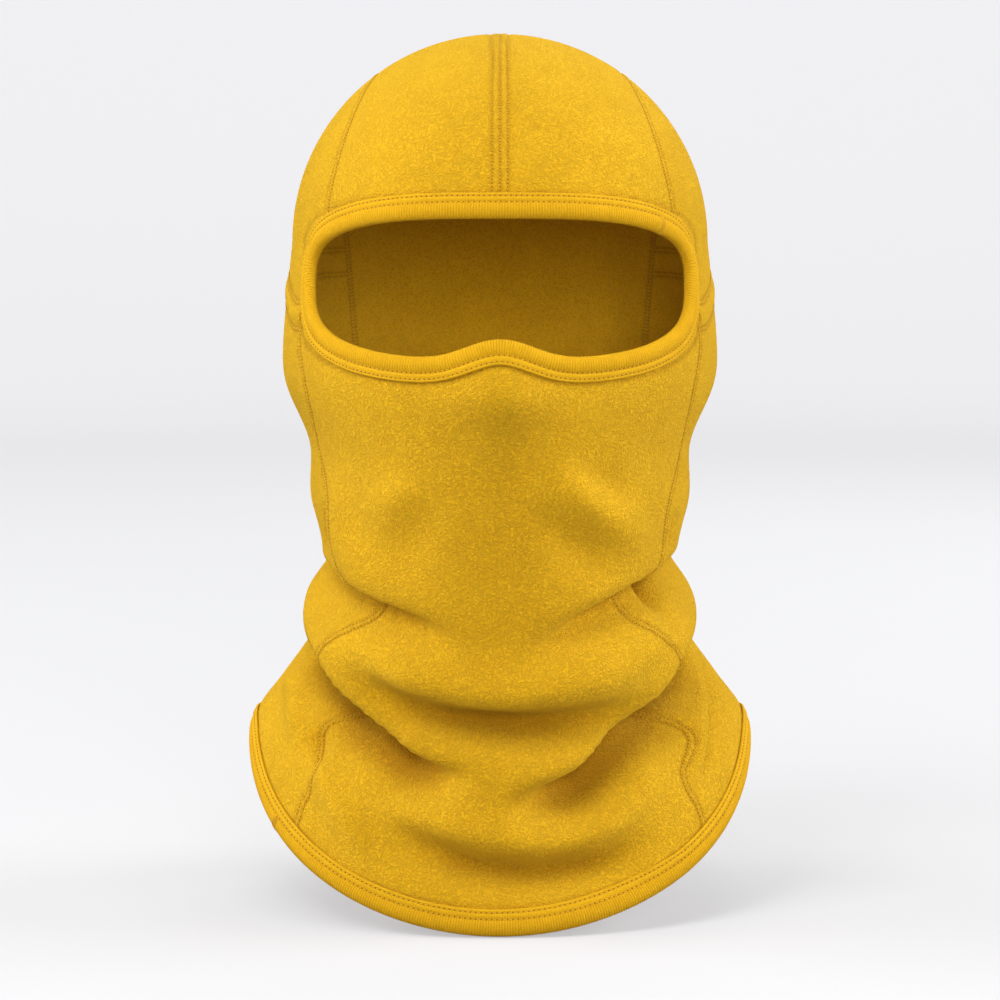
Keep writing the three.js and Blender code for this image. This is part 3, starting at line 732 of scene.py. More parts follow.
def new_mesh_object(name, points, faces, sharp=(), values=None):
    """A smooth-shaded mesh from points in millimetres and triangles, with named point values."""
    mesh = bpy.data.meshes.new(name)
    mesh.vertices.add(len(points))
    mesh.vertices.foreach_set("co", (np.asarray(points) * MM).astype(np.float32).ravel())
    mesh.loops.add(len(faces) * 3)
    mesh.loops.foreach_set("vertex_index", np.asarray(faces, np.int32).ravel())
    mesh.polygons.add(len(faces))
    mesh.polygons.foreach_set("loop_start", np.arange(len(faces), dtype=np.int32) * 3)
    mesh.update(calc_edges=True)
    mesh.shade_smooth()
    if len(sharp):
        edges = np.zeros(len(mesh.edges) * 2, np.int32)
        mesh.edges.foreach_get("vertices", edges)
        edges = np.sort(edges.reshape(-1, 2), axis=1)
        wanted = np.sort(np.asarray(sharp), axis=1)
        marked = np.isin(edge_keys(edges, len(points)), edge_keys(wanted, len(points)))
        attribute = mesh.attributes.new("sharp_edge", "BOOLEAN", "EDGE")
        attribute.data.foreach_set("value", marked)
    for key, value in (values or {}).items():
        value = np.asarray(value, np.float32)
        kind = "FLOAT_VECTOR" if value.ndim == 2 else "FLOAT"
        attribute = mesh.attributes.new(key, kind, "POINT")
        attribute.data.foreach_set("vector" if value.ndim == 2 else "value", value.ravel())
    obj = bpy.data.objects.new(name, mesh)
    bpy.context.scene.collection.objects.link(obj)
    return obj


def cloth_piece(name, sizes):
    """One panel or seam as a closed shell, and its flat area in square millimetres."""
    cloth = sewn_cloth()
    height, shade = cloth_relief(cloth, sizes)
    tri = cloth.tri[cloth.piece == name]
    if len(tri) == 0:
        raise RuntimeError(f"the cloth has no piece named {name}")
    used, faces = np.unique(tri, return_inverse=True)
    faces = faces.reshape(-1, 3)
    place, normal = cloth.place[used], cloth.normal[used]
    thick = sizes.thickness / MM
    outer = place + normal * (thick + height[used])[:, None]
    inner = place + normal * (-0.3 * np.minimum(height[used], 0.4))[:, None]
    count = len(used)
    edges = np.concatenate([faces[:, [0, 1]], faces[:, [1, 2]], faces[:, [2, 0]]])
    rim = edges[~np.isin(edge_keys(edges, count), edge_keys(edges[:, ::-1], count))]
    a, b = rim[:, 0], rim[:, 1]
    walls = [np.stack([b, a, a + count], 1), np.stack([b, a + count, b + count], 1)]
    all_faces = np.concatenate([faces, faces[:, ::-1] + count, *walls])
    sharp = np.concatenate([rim, rim + count])
    # painted shade: the folds' painted shade joins that of the needle lines in the ditch attribute
    shade = np.maximum(shade, cloth.hollow)
    values = {"ditch": np.tile(shade[used], 2)}
    points = np.concatenate([outer, inner])
    obj = new_mesh_object(name + "_cloth", points, all_faces, sharp, values)
    p = place[faces]
    area = np.linalg.norm(np.cross(p[:, 1] - p[:, 0], p[:, 2] - p[:, 0]), axis=1).sum() / 2
    return obj, area


# Geometry Nodes

def new_tree(name, numbers):
    """A tree that takes a geometry, some numbers and a material, and gives a geometry."""
    tree = bpy.data.node_groups.new(name, "GeometryNodeTree")
    tree.interface.new_socket("Geometry", in_out="INPUT", socket_type="NodeSocketGeometry")
    for label in numbers:
        tree.interface.new_socket(label, in_out="INPUT", socket_type="NodeSocketFloat")
    tree.interface.new_socket("Material", in_out="INPUT", socket_type="NodeSocketMaterial")
    tree.interface.new_socket("Geometry", in_out="OUTPUT", socket_type="NodeSocketGeometry")
    return tree, tree.nodes.new("NodeGroupInput"), tree.nodes.new("NodeGroupOutput")


def math_node(tree, operation, *values):
    node = tree.nodes.new("ShaderNodeMath")
    node.operation = operation
    for socket, value in zip(node.inputs, values):
        if isinstance(value, bpy.types.NodeSocket):
            tree.links.new(value, socket)
        else:
            socket.default_value = value
    return node.outputs[0]


def fill(node, values):
    for name, value in values.items():
        node.inputs[name].default_value = value


def clamped(tree, value):
    return math_node(tree, "MINIMUM", math_node(tree, "MAXIMUM", value, 0.0), 1.0)


def color_mix(tree, factor):
    """The two colour inputs and the output of a mix of colours."""
    mix = tree.nodes.new("ShaderNodeMix")
    mix.data_type = "RGBA"
    tree.links.new(factor, mix.inputs["Factor"])
    first, second = [socket for socket in mix.inputs if socket.type == "RGBA"]
    return first, second, next(socket for socket in mix.outputs if socket.type == "RGBA")


def vector_scaled(tree, vector, factor):
    node = tree.nodes.new("ShaderNodeVectorMath")
    node.operation = "SCALE"
    tree.links.new(vector, node.inputs[0])
    tree.links.new(factor, node.inputs["Scale"])
    return node.outputs[0]


def named_value(tree, name, kind):
    node = tree.nodes.new("GeometryNodeInputNamedAttribute")
    node.data_type = kind
    node.inputs["Name"].default_value = name
    return next(s for s in node.outputs if s.enabled and s.name == "Attribute")


def finished(tree, group_input, geometry, group_output):
    realize = tree.nodes.new("GeometryNodeRealizeInstances")
    paint = tree.nodes.new("GeometryNodeSetMaterial")
    tree.links.new(geometry, realize.inputs[0])
    tree.links.new(realize.outputs[0], paint.inputs["Geometry"])
    tree.links.new(group_input.outputs["Material"], paint.inputs["Material"])
    tree.links.new(paint.outputs[0], group_output.inputs["Geometry"])


@functools.lru_cache(maxsize=1)
def ribbing_tree():
    """Raises ribs round a binding: points move along their normals by a wave of their way round."""
    tree, given, out = new_tree("Knit ribs", ("Rib Pitch", "Rib Height", "Way Round"))
    calc = functools.partial(math_node, tree)
    ribs = calc("ROUND", calc("DIVIDE", given.outputs["Way Round"], given.outputs["Rib Pitch"]))
    turns = calc("MULTIPLY", named_value(tree, "way_round", "FLOAT"), ribs)
    wave = calc("COSINE", calc("MULTIPLY", turns, 2 * math.pi))
    lift = calc("MULTIPLY", wave, given.outputs["Rib Height"])
    lift = calc("MULTIPLY", lift, named_value(tree, "ribbed", "FLOAT"))
    move = tree.nodes.new("GeometryNodeSetPosition")
    tree.links.new(given.outputs["Geometry"], move.inputs["Geometry"])
    normal = tree.nodes.new("GeometryNodeInputNormal")
    tree.links.new(vector_scaled(tree, normal.outputs[0], lift), move.inputs["Offset"])
    finished(tree, given, move.outputs[0], out)
    return tree


@functools.lru_cache(maxsize=1)
def stitch_tree():
    """Lays small rounded shapes at a pitch along lines of edges that carry the way outward."""
    tree, given, out = new_tree(
        "Stitch rows", ("Pitch", "Length", "Width", "Height", "Start", "Slant"))
    links = tree.links
    rows = tree.nodes.new("GeometryNodeMeshToCurve")
    links.new(given.outputs["Geometry"], rows.inputs["Mesh"])
    spaced = tree.nodes.new("GeometryNodeResampleCurve")
    spaced.mode = "LENGTH"
    links.new(rows.outputs[0], spaced.inputs["Curve"])
    links.new(given.outputs["Pitch"], spaced.inputs["Length"])
    tangent = tree.nodes.new("GeometryNodeInputTangent")
    outward = named_value(tree, "outward", "FLOAT_VECTOR")
    move = tree.nodes.new("GeometryNodeSetPosition")
    links.new(spaced.outputs[0], move.inputs["Geometry"])
    start = vector_scaled(tree, tangent.outputs[0], given.outputs["Start"])
    links.new(start, move.inputs["Offset"])
    facing = tree.nodes.new("FunctionNodeAxesToRotation")
    facing.primary_axis, facing.secondary_axis = "Z", "X"
    links.new(outward, facing.inputs[0])
    links.new(tangent.outputs[0], facing.inputs[1])
    swing = tree.nodes.new("FunctionNodeRotateRotation")
    swing.rotation_space = "LOCAL"
    links.new(facing.outputs[0], swing.inputs[0])
    lean = tree.nodes.new("ShaderNodeCombineXYZ")
    links.new(given.outputs["Slant"], lean.inputs["Z"])
    links.new(lean.outputs[0], swing.inputs[1])
    bead = tree.nodes.new("GeometryNodeMeshUVSphere")
    fill(bead, {"Segments": 6, "Rings": 4, "Radius": 0.5})
    size = tree.nodes.new("ShaderNodeCombineXYZ")
    for socket, axis in (("Length", "X"), ("Width", "Y"), ("Height", "Z")):
        links.new(given.outputs[socket], size.inputs[axis])
    smooth = tree.nodes.new("GeometryNodeSetShadeSmooth")
    links.new(bead.outputs["Mesh"], smooth.inputs[0])
    place = tree.nodes.new("GeometryNodeInstanceOnPoints")
    links.new(move.outputs[0], place.inputs["Points"])
    links.new(smooth.outputs[0], place.inputs["Instance"])
    links.new(swing.outputs[0], place.inputs["Rotation"])
    links.new(size.outputs[0], place.inputs["Scale"])
    finished(tree, given, place.outputs[0], out)
    return tree


def run_tree(obj, tree, settings):
    """Runs a tree on an object, its inputs found by name, and keeps the result as its mesh."""
    modifier = obj.modifiers.new(tree.name, "NODES")
    modifier.node_group = tree
    for item in tree.interface.items_tree:
        if item.item_type == "SOCKET" and item.in_out == "INPUT" and item.name in settings:
            modifier[item.identifier] = settings[item.name]
    depsgraph = bpy.context.evaluated_depsgraph_get()
    mesh = bpy.data.meshes.new_from_object(obj.evaluated_get(depsgraph), depsgraph=depsgraph)
    obj.modifiers.remove(modifier)
    before = obj.data
    obj.data = mesh
    mesh.name = obj.name
    bpy.data.meshes.remove(before)
    if len(mesh.polygons) == 0:
        raise RuntimeError(f"{tree.name} made nothing for {obj.name}")
    return obj


# Shader node groups and materials

def shader_group(name, inputs, outputs):
    tree = bpy.data.node_groups.new(name, "ShaderNodeTree")
    for label, kind, value in inputs:
        socket = tree.interface.new_socket(label, in_out="INPUT", socket_type=kind)
        socket.default_value = value
    for label, kind in outputs:
        tree.interface.new_socket(label, in_out="OUTPUT", socket_type=kind)
    return tree, tree.nodes.new("NodeGroupInput"), tree.nodes.new("NodeGroupOutput")


def noise(tree, place, scale, detail, roughness=0.5, distortion=0.0):
    node = tree.nodes.new("ShaderNodeTexNoise")
    tree.links.new(place, node.inputs["Vector"])
    if isinstance(scale, bpy.types.NodeSocket):
        tree.links.new(scale, node.inputs["Scale"])
    else:
        node.inputs["Scale"].default_value = scale
    fill(node, {"Detail": detail, "Roughness": roughness, "Distortion": distortion})
    return node.outputs["Fac"]


@functools.lru_cache(maxsize=1)
def nap_group():
    """Brushed nap: short curled tufts, as a height, and as a tint that is painted shade in the gaps
    between the tufts and random patches of tone.
    """
    tree, given, out = shader_group(
        "Brushed nap",
        [("Tuft Size", "NodeSocketFloat", 0.0013), ("Patchiness", "NodeSocketFloat", 0.5)],
        [("Height", "NodeSocketFloat"), ("Tint", "NodeSocketFloat")],
    )
    calc = functools.partial(math_node, tree)
    place = tree.nodes.new("ShaderNodeTexCoord").outputs["Object"]
    scale = calc("DIVIDE", 1.0, given.outputs["Tuft Size"])
    curl = noise(tree, place, scale, 1.0, 0.5, 0.6)
    gap = calc("ABSOLUTE", calc("SUBTRACT", curl, 0.5))
    worm = calc("SUBTRACT", 1.0, calc("MINIMUM", calc("MULTIPLY", gap, 7.0), 1.0))
    fine = noise(tree, place, calc("MULTIPLY", scale, 3.1), 2.0)
    height = calc("ADD", calc("MULTIPLY", worm, 0.55), calc("MULTIPLY", fine, 0.45))
    patch = noise(tree, place, calc("MULTIPLY", scale, 0.07), 2.0)
    spread = calc("MULTIPLY", calc("SUBTRACT", patch, 0.5), given.outputs["Patchiness"])
    # the tint is painted shade in the gaps between the tufts, with random patches of tone
    tint = calc("ADD", height, spread)
    tree.links.new(height, out.inputs["Height"])
    tree.links.new(tint, out.inputs["Tint"])
    return tree


@functools.lru_cache(maxsize=1)
def shade_group():
    """The cloth's colour and its painted shade mixed by a mask, and the painted shade again in
    needle lines, beside the bindings, between the ribs and in deep folds.
    """
    tree, given, out = shader_group(
        "Cloth with painted shade",
        [("Color", "NodeSocketColor", (0.8, 0.45, 0.03, 1)),
         ("Painted Shade Color", "NodeSocketColor", (0.5, 0.25, 0.01, 1)),
         ("Mask", "NodeSocketFloat", 0.5), ("Depth", "NodeSocketFloat", 0.5),
         ("Painted Shade", "NodeSocketFloat", 0.0)],
        [("Color", "NodeSocketColor")],
    )
    gap = math_node(tree, "SUBTRACT", 1.0, given.outputs["Mask"])
    amount = math_node(tree, "MULTIPLY", gap, given.outputs["Depth"])
    amount = clamped(tree, math_node(tree, "ADD", amount, given.outputs["Painted Shade"]))
    color, deep, mixed = color_mix(tree, amount)
    tree.links.new(given.outputs["Color"], color)
    tree.links.new(given.outputs["Painted Shade Color"], deep)
    tree.links.new(mixed, out.inputs["Color"])
    return tree


def cloth_material(name, color, deep, tuft, depth, bump, sheen, ditch=0.0, roughness=0.92):
    """Napped cloth: depth is the share of the painted shade colour in the gaps between the tufts,
    ditch how far the painted shade from the ditch attribute darkens it.
    """
    found = bpy.data.materials.get(name)
    if found:
        return found
    material = bpy.data.materials.new(name)
    material.use_nodes = True
    tree = material.node_tree
    shader = tree.nodes["Principled BSDF"]
    nap = tree.nodes.new("ShaderNodeGroup")
    nap.node_tree = nap_group()
    nap.inputs["Tuft Size"].default_value = tuft
    tone = tree.nodes.new("ShaderNodeGroup")
    tone.node_tree = shade_group()
    fill(tone, {"Color": (*color, 1), "Painted Shade Color": (*deep, 1), "Depth": depth})
    tree.links.new(nap.outputs["Tint"], tone.inputs["Mask"])
    # painted shade from the ditch attribute: needle lines, the dips beside the bindings, rib
    # valleys and deep folds
    if ditch:
        line = tree.nodes.new("ShaderNodeAttribute")
        line.attribute_name = "ditch"
        darker = math_node(tree, "MULTIPLY", line.outputs["Fac"], ditch)
        tree.links.new(darker, tone.inputs["Painted Shade"])
    tree.links.new(tone.outputs["Color"], shader.inputs["Base Color"])
    lump = tree.nodes.new("ShaderNodeBump")
    lump.inputs["Distance"].default_value = bump
    tree.links.new(nap.outputs["Height"], lump.inputs["Height"])
    tree.links.new(lump.outputs["Normal"], shader.inputs["Normal"])
    fill(shader, {
        "Roughness": roughness, "Specular IOR Level": 0.08,
        "Sheen Weight": sheen, "Sheen Roughness": 0.6, "Sheen Tint": (1.0, 0.70, 0.06, 1),
    })
    return material


def fleece(colors, sizes):
    return cloth_material(
        "brushed_fleece", colors.fleece, colors.fleece_shade, sizes.tuft,
        depth=0.65, bump=0.0008, sheen=0.6, ditch=0.85)


def ribbed_knit(colors, sizes):
    return cloth_material(
        "ribbed_binding_knit", colors.binding, colors.fleece_shade, sizes.tuft * 0.5,
        depth=0.4, bump=0.0002, sheen=0.15, ditch=0.9)


def sewing_thread(colors, sizes):
    return cloth_material(
        "sewing_thread", colors.thread, colors.fleece_shade, sizes.tuft * 0.3,
        depth=0.3, bump=0.0001, sheen=0.1, roughness=0.6)


# painted shade: dark beads laid where the needle holes are, standing in for the shade inside them
def needle_hole_shade(colors, sizes):
    return cloth_material(
        "needle_hole_shade", colors.hole_shade, colors.hole_shade, sizes.tuft * 0.3,
        depth=0.0, bump=0.0001, sheen=0.0)


# Finishing a piece

def finish_piece(obj, material, slot, *nodes):
    if material is not None:
        obj.data.materials.clear()
        obj.data.materials.append(material)
    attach(obj, "root")
    if nodes:
        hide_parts(*nodes)
    return obj


def make_panels(context, names):
    settings = context.scene.balaclava
    material = fleece(settings.colors, settings.sizes)
    for name in names:
        obj, area = cloth_piece(name, settings.sizes)
        finish_piece(obj, material, "fleece", name)


def row_edges(name, line, offset):
    """The edges of a piece of the cloth that lie along one line of its points."""
    cloth = sewn_cloth()
    tri = cloth.tri[cloth.piece == name]
    used = np.unique(tri)
    on_line = np.zeros(len(cloth.u), bool)
    on_line[used] = np.abs(cloth.distances[line][used] - offset) < 0.04
    edges = np.concatenate([tri[:, [0, 1]], tri[:, [1, 2]], tri[:, [2, 0]]])
    return np.unique(np.sort(edges[on_line[edges].all(1)], axis=1), axis=0)


def edge_object(name, points, outward, edges):
    """Lines of edges, for the stitch rows, that carry the way out of the cloth."""
    mesh = bpy.data.meshes.new(name)
    mesh.from_pydata((np.asarray(points) * MM).tolist(), edges.tolist(), [])
    attribute = mesh.attributes.new("outward", "FLOAT_VECTOR", "POINT")
    attribute.data.foreach_set("vector", np.asarray(outward, np.float32).ravel())
    obj = bpy.data.objects.new(name, mesh)
    bpy.context.scene.collection.objects.link(obj)
    return obj


def joined(parts):
    """Several sets of (points, outward, edges) as one set."""
    points, outward, edges, count = [], [], [], 0
    for p, o, e in parts:
        points.append(p)
        outward.append(o)
        edges.append(np.asarray(e) + count)
        count += len(p)
    return np.concatenate(points), np.concatenate(outward), np.concatenate(edges)


def lay_stitches(name, rows, material, pitch, shape, start, slant, *nodes):
    """A piece of small shapes, of one length, width and height, laid along rows of edges."""
    obj = edge_object(name, *joined(rows))
    length, width, height = shape
    run_tree(obj, stitch_tree(), {
        "Pitch": pitch, "Length": length, "Width": width, "Height": height,
        "Start": start, "Slant": slant, "Material": material,
    })
    finish_piece(obj, None, "thread", *nodes)


def seam_row(name, line, offset, sizes, inside=False):
    """The points of one needle row of a seam, with the way out of the cloth and the edges."""
    cloth = sewn_cloth()
    edges = row_edges(name, line, offset)
    if len(edges) == 0:
        raise RuntimeError(f"{name} has no row of points at {offset}")
    used, back = np.unique(edges, return_inverse=True)
    height, _shade = cloth_relief(cloth, sizes)
    normal = cloth.normal[used]
    if inside:
        return cloth.place[used] - normal * LINING_LIFT, -normal, back.reshape(-1, 2)
    lift = sizes.thickness / MM + height[used] + SEAM_LIFT
    return cloth.place[used] + normal * lift[:, None], normal, back.reshape(-1, 2)


# The bindings

def eye_edge(share):
    """Points of the eye opening's edge, evenly spaced round it, as turns and lengths."""
    angle = np.linspace(0, 2 * math.pi, 1441)

    def on_edge(angle):
        centre = CROWN_ARC + TEMPLE_Z - EYE_Z
        low, high = np.zeros_like(angle), np.full_like(angle, 1.6)
        for _ in range(40):
            r = (low + high) / 2
            u, s = r * np.cos(angle), centre + 60 * r * np.sin(angle)
            inside = eye_measure(smooth_cloth(u, s), u, s) < 0
            low, high = np.where(inside, r, low), np.where(inside, high, r)
        return low * np.cos(angle), centre + 60 * low * np.sin(angle)

    u, s = on_edge(angle)
    step = np.linalg.norm(np.diff(hung_cloth(u, s), axis=0), axis=1)
    length = np.concatenate([[0], np.cumsum(step)])
    return (*on_edge(np.interp(share * length[-1], length, angle)), length[-1])


def hem_edge(share):
    angle = np.linspace(0, 2 * math.pi, 1441)
    end = np.full_like(angle, CLOTH_LENGTH)
    step = np.linalg.norm(np.diff(hung_cloth(angle, end), axis=0), axis=1)
    length = np.concatenate([[0], np.cumsum(step)])
    u = np.interp(share * length[-1], length, angle)
    return -u[::-1], np.full_like(u, CLOTH_LENGTH), length[-1]


# The binding's section: how far in from the edge, and how far out from the inside of the panel.
# It goes from the outer edge on the outside, round the lip, to the edge on the inside, and back.
BINDING_OUTSIDE = [
    (9.4, 1.75), (9.45, 2.2), (9.1, 2.62), (8.7, 2.68), (8.2, 2.38), (7.7, 2.72), (7.0, 2.82),
    (6.4, 2.74), (5.8, 2.34), (5.2, 2.9), (4.3, 3.3), (3.2, 3.5), (2.1, 3.45), (1.1, 3.15),
    (0.2, 2.6), (-0.4, 1.9),
    (-0.6, 1.1), (-0.45, 0.3), (0.1, -0.5), (1.0, -1.0), (2.4, -1.25), (4.5, -1.3), (6.6, -1.25),
    (8.4, -1.2), (9.2, -1.0),
]
BINDING_LINING = [
    (9.2, -0.15), (7.0, -0.15), (4.0, -0.15), (2.0, -0.05), (1.0, 0.5), (0.8, 1.1), (1.2, 1.75),
    (2.4, 2.2), (4.0, 2.1), (5.2, 1.85), (7.0, 1.85), (8.6, 1.85),
]
RIBBED_UP_TO = 5.0


@functools.lru_cache(maxsize=2)
def binding_grid(edge_name, count):
    """Points round a binding's section at each of count places round an edge, and the ways out."""
    edge, distance = {"eye": (eye_edge, from_eye), "hem": (hem_edge, from_hem)}[edge_name]
    share = np.arange(count) / count
    u, s, total = edge(share)
    profile = np.array(BINDING_OUTSIDE + BINDING_LINING)
    depths = np.unique(np.maximum(profile[:, 0], 0))
    walked, columns = 0.0, {}
    for depth in depths:
        while depth - walked > 1e-6:
            step = min(0.8, depth - walked)
            _value, to_u, to_s = distance(u, s)
            u, s = u + to_u * step, s + to_s * step
            walked += step
        columns[depth] = (u, s)
    turns, lengths = np.array([columns[depth] for depth in depths]).transpose(1, 0, 2)
    grid = hung_cloth(turns, lengths)
    round_way = np.roll(grid, -1, axis=1) - np.roll(grid, 1, axis=1)
    inward = np.gradient(grid, depths, axis=0)
    normal = unit(np.cross(inward, round_way))
    centre = grid.mean((0, 1))
    if np.einsum("ijk,ijk->ij", normal, grid - centre).mean() < 0:
        normal = -normal
    at = {depth: i for i, depth in enumerate(depths)}
    rows, ways = [], []
    for depth, out in profile:
        i = at[max(depth, 0)]
        rows.append(grid[i] + unit(inward[i]) * min(depth, 0) + normal[i] * out)
        ways.append(normal[i])
    return np.array(rows), np.array(ways), share, total


def make_binding(context, edge_name, name):
    """A ribbed band folded over an edge, with ribs across it and two sunk needle rows."""
    settings = context.scene.balaclava
    sizes = settings.sizes
    pitch = sizes.rib_pitch / MM
    _rows, _ways, _share, total = binding_grid(edge_name, TWIN_COLUMNS)
    ribs = round(total / pitch)
    count = ribs * RIB_COLUMNS
    rows, _ways, share, _total = binding_grid(edge_name, count)
    n = len(rows)
    index = np.arange(n * count).reshape(n, count)
    a, b = index, np.roll(index, -1, axis=1)
    c, d = np.roll(b, -1, axis=0), np.roll(a, -1, axis=0)
    halves = np.stack([a, b, c], -1), np.stack([a, c, d], -1)
    faces = np.concatenate([half.reshape(-1, 3) for half in halves])
    points = rows.reshape(-1, 3)
    p = points[faces]
    if np.einsum("ij,ij->i", p[:, 0], np.cross(p[:, 1], p[:, 2])).sum() < 0:
        faces = faces[:, ::-1]
    profile = np.array(BINDING_OUTSIDE + BINDING_LINING)
    outside = np.arange(n) < len(BINDING_OUTSIDE)
    lip = outside & (profile[:, 0] < RIBBED_UP_TO + 0.3)
    flange = outside & ~lip & (profile[:, 1] > 0)
    ribbed = np.where(lip, 1.0, np.where(flange, 0.35, 0.0))
    rows_near = np.min([np.abs(profile[:, 0] - row) for row in TWIN_ROWS], axis=0)
    # painted shade in the two sunk needle rows of the binding
    ditch = np.where(outside & (profile[:, 1] > 0) & (rows_near < 0.3), 0.55, 0.0)
    wave = 0.5 - 0.5 * np.cos(2 * math.pi * share * ribs)
    values = {
        "way_round": np.tile(share, n),
        "ribbed": np.repeat(ribbed, count),
        # painted shade between the ribs, where the band is lowest
        "ditch": np.maximum(np.repeat(ditch, count), 0.42 * np.outer(ribbed, wave).ravel()),
    }
    obj = new_mesh_object(name + "_band", points, faces, values=values)
    material = ribbed_knit(settings.colors, sizes)
    run_tree(obj, ribbing_tree(), {
        "Rib Pitch": sizes.rib_pitch, "Rib Height": sizes.rib_height,
        "Way Round": total * MM, "Material": material,
    })
    finish_piece(obj, None, "ribbed_binding", name)


def twin_rows(edge_name):
    """The two needle rows of a binding, on the outside of its band."""
    rows, ways, _share, _total = binding_grid(edge_name, TWIN_COLUMNS)
    depths = [depth for depth, _out in BINDING_OUTSIDE]
    around = np.arange(TWIN_COLUMNS)
    loop = np.stack([around, np.roll(around, -1)], 1)
    places = [depths.index(row) for row in TWIN_ROWS]
    return [(rows[i] + ways[i] * TWIN_LIFT, ways[i], loop) for i in places]


# Operators

class BALACLAVA_OT_crown_panels(Operator):
    """Make the two crown panels and the back panel"""

    bl_idname = "balaclava.crown_panels"
    bl_label = "Crown and back panels"

    def execute(self, context):
        make_panels(context, ("crown_left", "crown_right", "back_panel"))
        return {"FINISHED"}


class BALACLAVA_OT_side_panels(Operator):
    """Make the temples, the strips over the ears and the sides"""

    bl_idname = "balaclava.side_panels"
    bl_label = "Side panels"

    def execute(self, context):
        names = [part + side for part in ("temple_", "ear_band_", "side_") for side in SIDES]
        make_panels(context, names)
        return {"FINISHED"}


class BALACLAVA_OT_face_panel(Operator):
    """Make the panel over the nose, mouth and chest"""

    bl_idname = "balaclava.face_panel"
    bl_label = "Face panel"

    def execute(self, context):
        make_panels(context, ("face_panel",))
        return {"FINISHED"}


class BALACLAVA_OT_flat_seams(Operator):
    """Make the flat seams that join the panels"""

    bl_idname = "balaclava.flat_seams"
    bl_label = "Flat seams"

    def execute(self, context):
        settings = context.scene.balaclava
        material = fleece(settings.colors, settings.sizes)
        for name in SEAMS:
            obj, _area = cloth_piece(name, settings.sizes)
            finish_piece(obj, material, "fleece", name)
        return {"FINISHED"}


class BALACLAVA_OT_seam_stitches(Operator):
    """Lay the stitches along the seams, with dark beads as the painted shade of their needle holes
    """

    bl_idname = "balaclava.seam_stitches"
    bl_label = "Seam stitches"

    def execute(self, context):
        settings = context.scene.balaclava
        sizes = settings.sizes
        thread = sewing_thread(settings.colors, sizes)
        hole_shade = needle_hole_shade(settings.colors, sizes)
        rows = []
        for name, line in SEAMS.items():
            _width, _distance, points, needle_rows = SEAM_LINES[line]
            rows += [seam_row(name, line, offset, sizes) for offset in needle_rows]
            if name.startswith("back_seam"):
                rows += [seam_row(name, line, offset, sizes, inside=True) for offset in points]
        pitch, width = sizes.seam_pitch, sizes.thread_width
        stitch = (pitch * 0.78, width, width * 0.8)
        # the size of the dark beads that are painted shade in the needle holes
        hole_shade_shape = (0.34 * MM, 0.5 * MM, 0.2 * MM)
        lay_stitches("seam_stitches", rows, thread, pitch, stitch, pitch / 2, 0.25)
        lay_stitches("seam_needle_hole_shade", rows, hole_shade, pitch, hole_shade_shape, 0.0, 0.0)
        return {"FINISHED"}


class BALACLAVA_OT_bindings(Operator):
    """Fold the ribbed bindings over the eye opening and the hem"""

    bl_idname = "balaclava.bindings"
    bl_label = "Ribbed bindings"

    def execute(self, context):
        make_binding(context, "eye", "eye_binding")
        make_binding(context, "hem", "hem_binding")
        return {"FINISHED"}


class BALACLAVA_OT_twin_stitches(Operator):
    """Sew the twin rows that hold the bindings down"""

    bl_idname = "balaclava.twin_stitches"
    bl_label = "Twin stitches"

    def execute(self, context):
        settings = context.scene.balaclava
        sizes = settings.sizes
        thread = sewing_thread(settings.colors, sizes)
        hole_shade = needle_hole_shade(settings.colors, sizes)
        pitch, width = sizes.twin_pitch, sizes.thread_width
        stitch = (pitch * 0.74, width * 1.15, width * 0.8)
        # the size of the dark beads that are painted shade in the needle holes
        hole_shade_shape = (0.5 * MM, 0.6 * MM, 0.25 * MM)
        for edge_name in ("eye", "hem"):
            name = edge_name + "_twin_stitch"
            rows = twin_rows(edge_name)
            lay_stitches(name + "_rows", rows, thread, pitch, stitch, pitch / 2, 0.1, name)
            lay_stitches(edge_name + "_needle_hole_shade", rows, hole_shade, pitch, hole_shade_shape, 0.0, 0.0)
        return {"FINISHED"}


class BALACLAVA_OT_join_bars(Operator):
    """Sew the bars that close the ends of each binding"""

    bl_idname = "balaclava.join_bars"
    bl_label = "Join bars"

    def execute(self, context):
        settings = context.scene.balaclava
        sizes = settings.sizes
        thread = sewing_thread(settings.colors, sizes)
        stitch = (0.9 * MM, sizes.thread_width, sizes.thread_width)
        for edge_name in ("eye", "hem"):
            node = edge_name + "_binding_join"
            low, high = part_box(node)
            middle = np.array((low + high) / 2) / MM
            rows, ways, _share, _total = binding_grid(edge_name, TWIN_COLUMNS)
            across = [
                i for i, (depth, out) in enumerate(BINDING_OUTSIDE) if out > 0.5 and depth < 5.9]
            column = np.argmin(np.linalg.norm(rows[across[3]] - middle, axis=1))
            steps = np.arange(len(across))
            line = np.stack([steps[:-1], steps[1:]], 1)
            parts = []
            for k in (column - 1, column, column + 1):
                k %= TWIN_COLUMNS
                way = ways[across, k]
                parts.append((rows[across, k] + way * BAR_LIFT, way, line))
            lay_stitches(node + "_bar", parts, thread, 0.7 * MM, stitch, 0.0, 0.5, node)
        return {"FINISHED"}


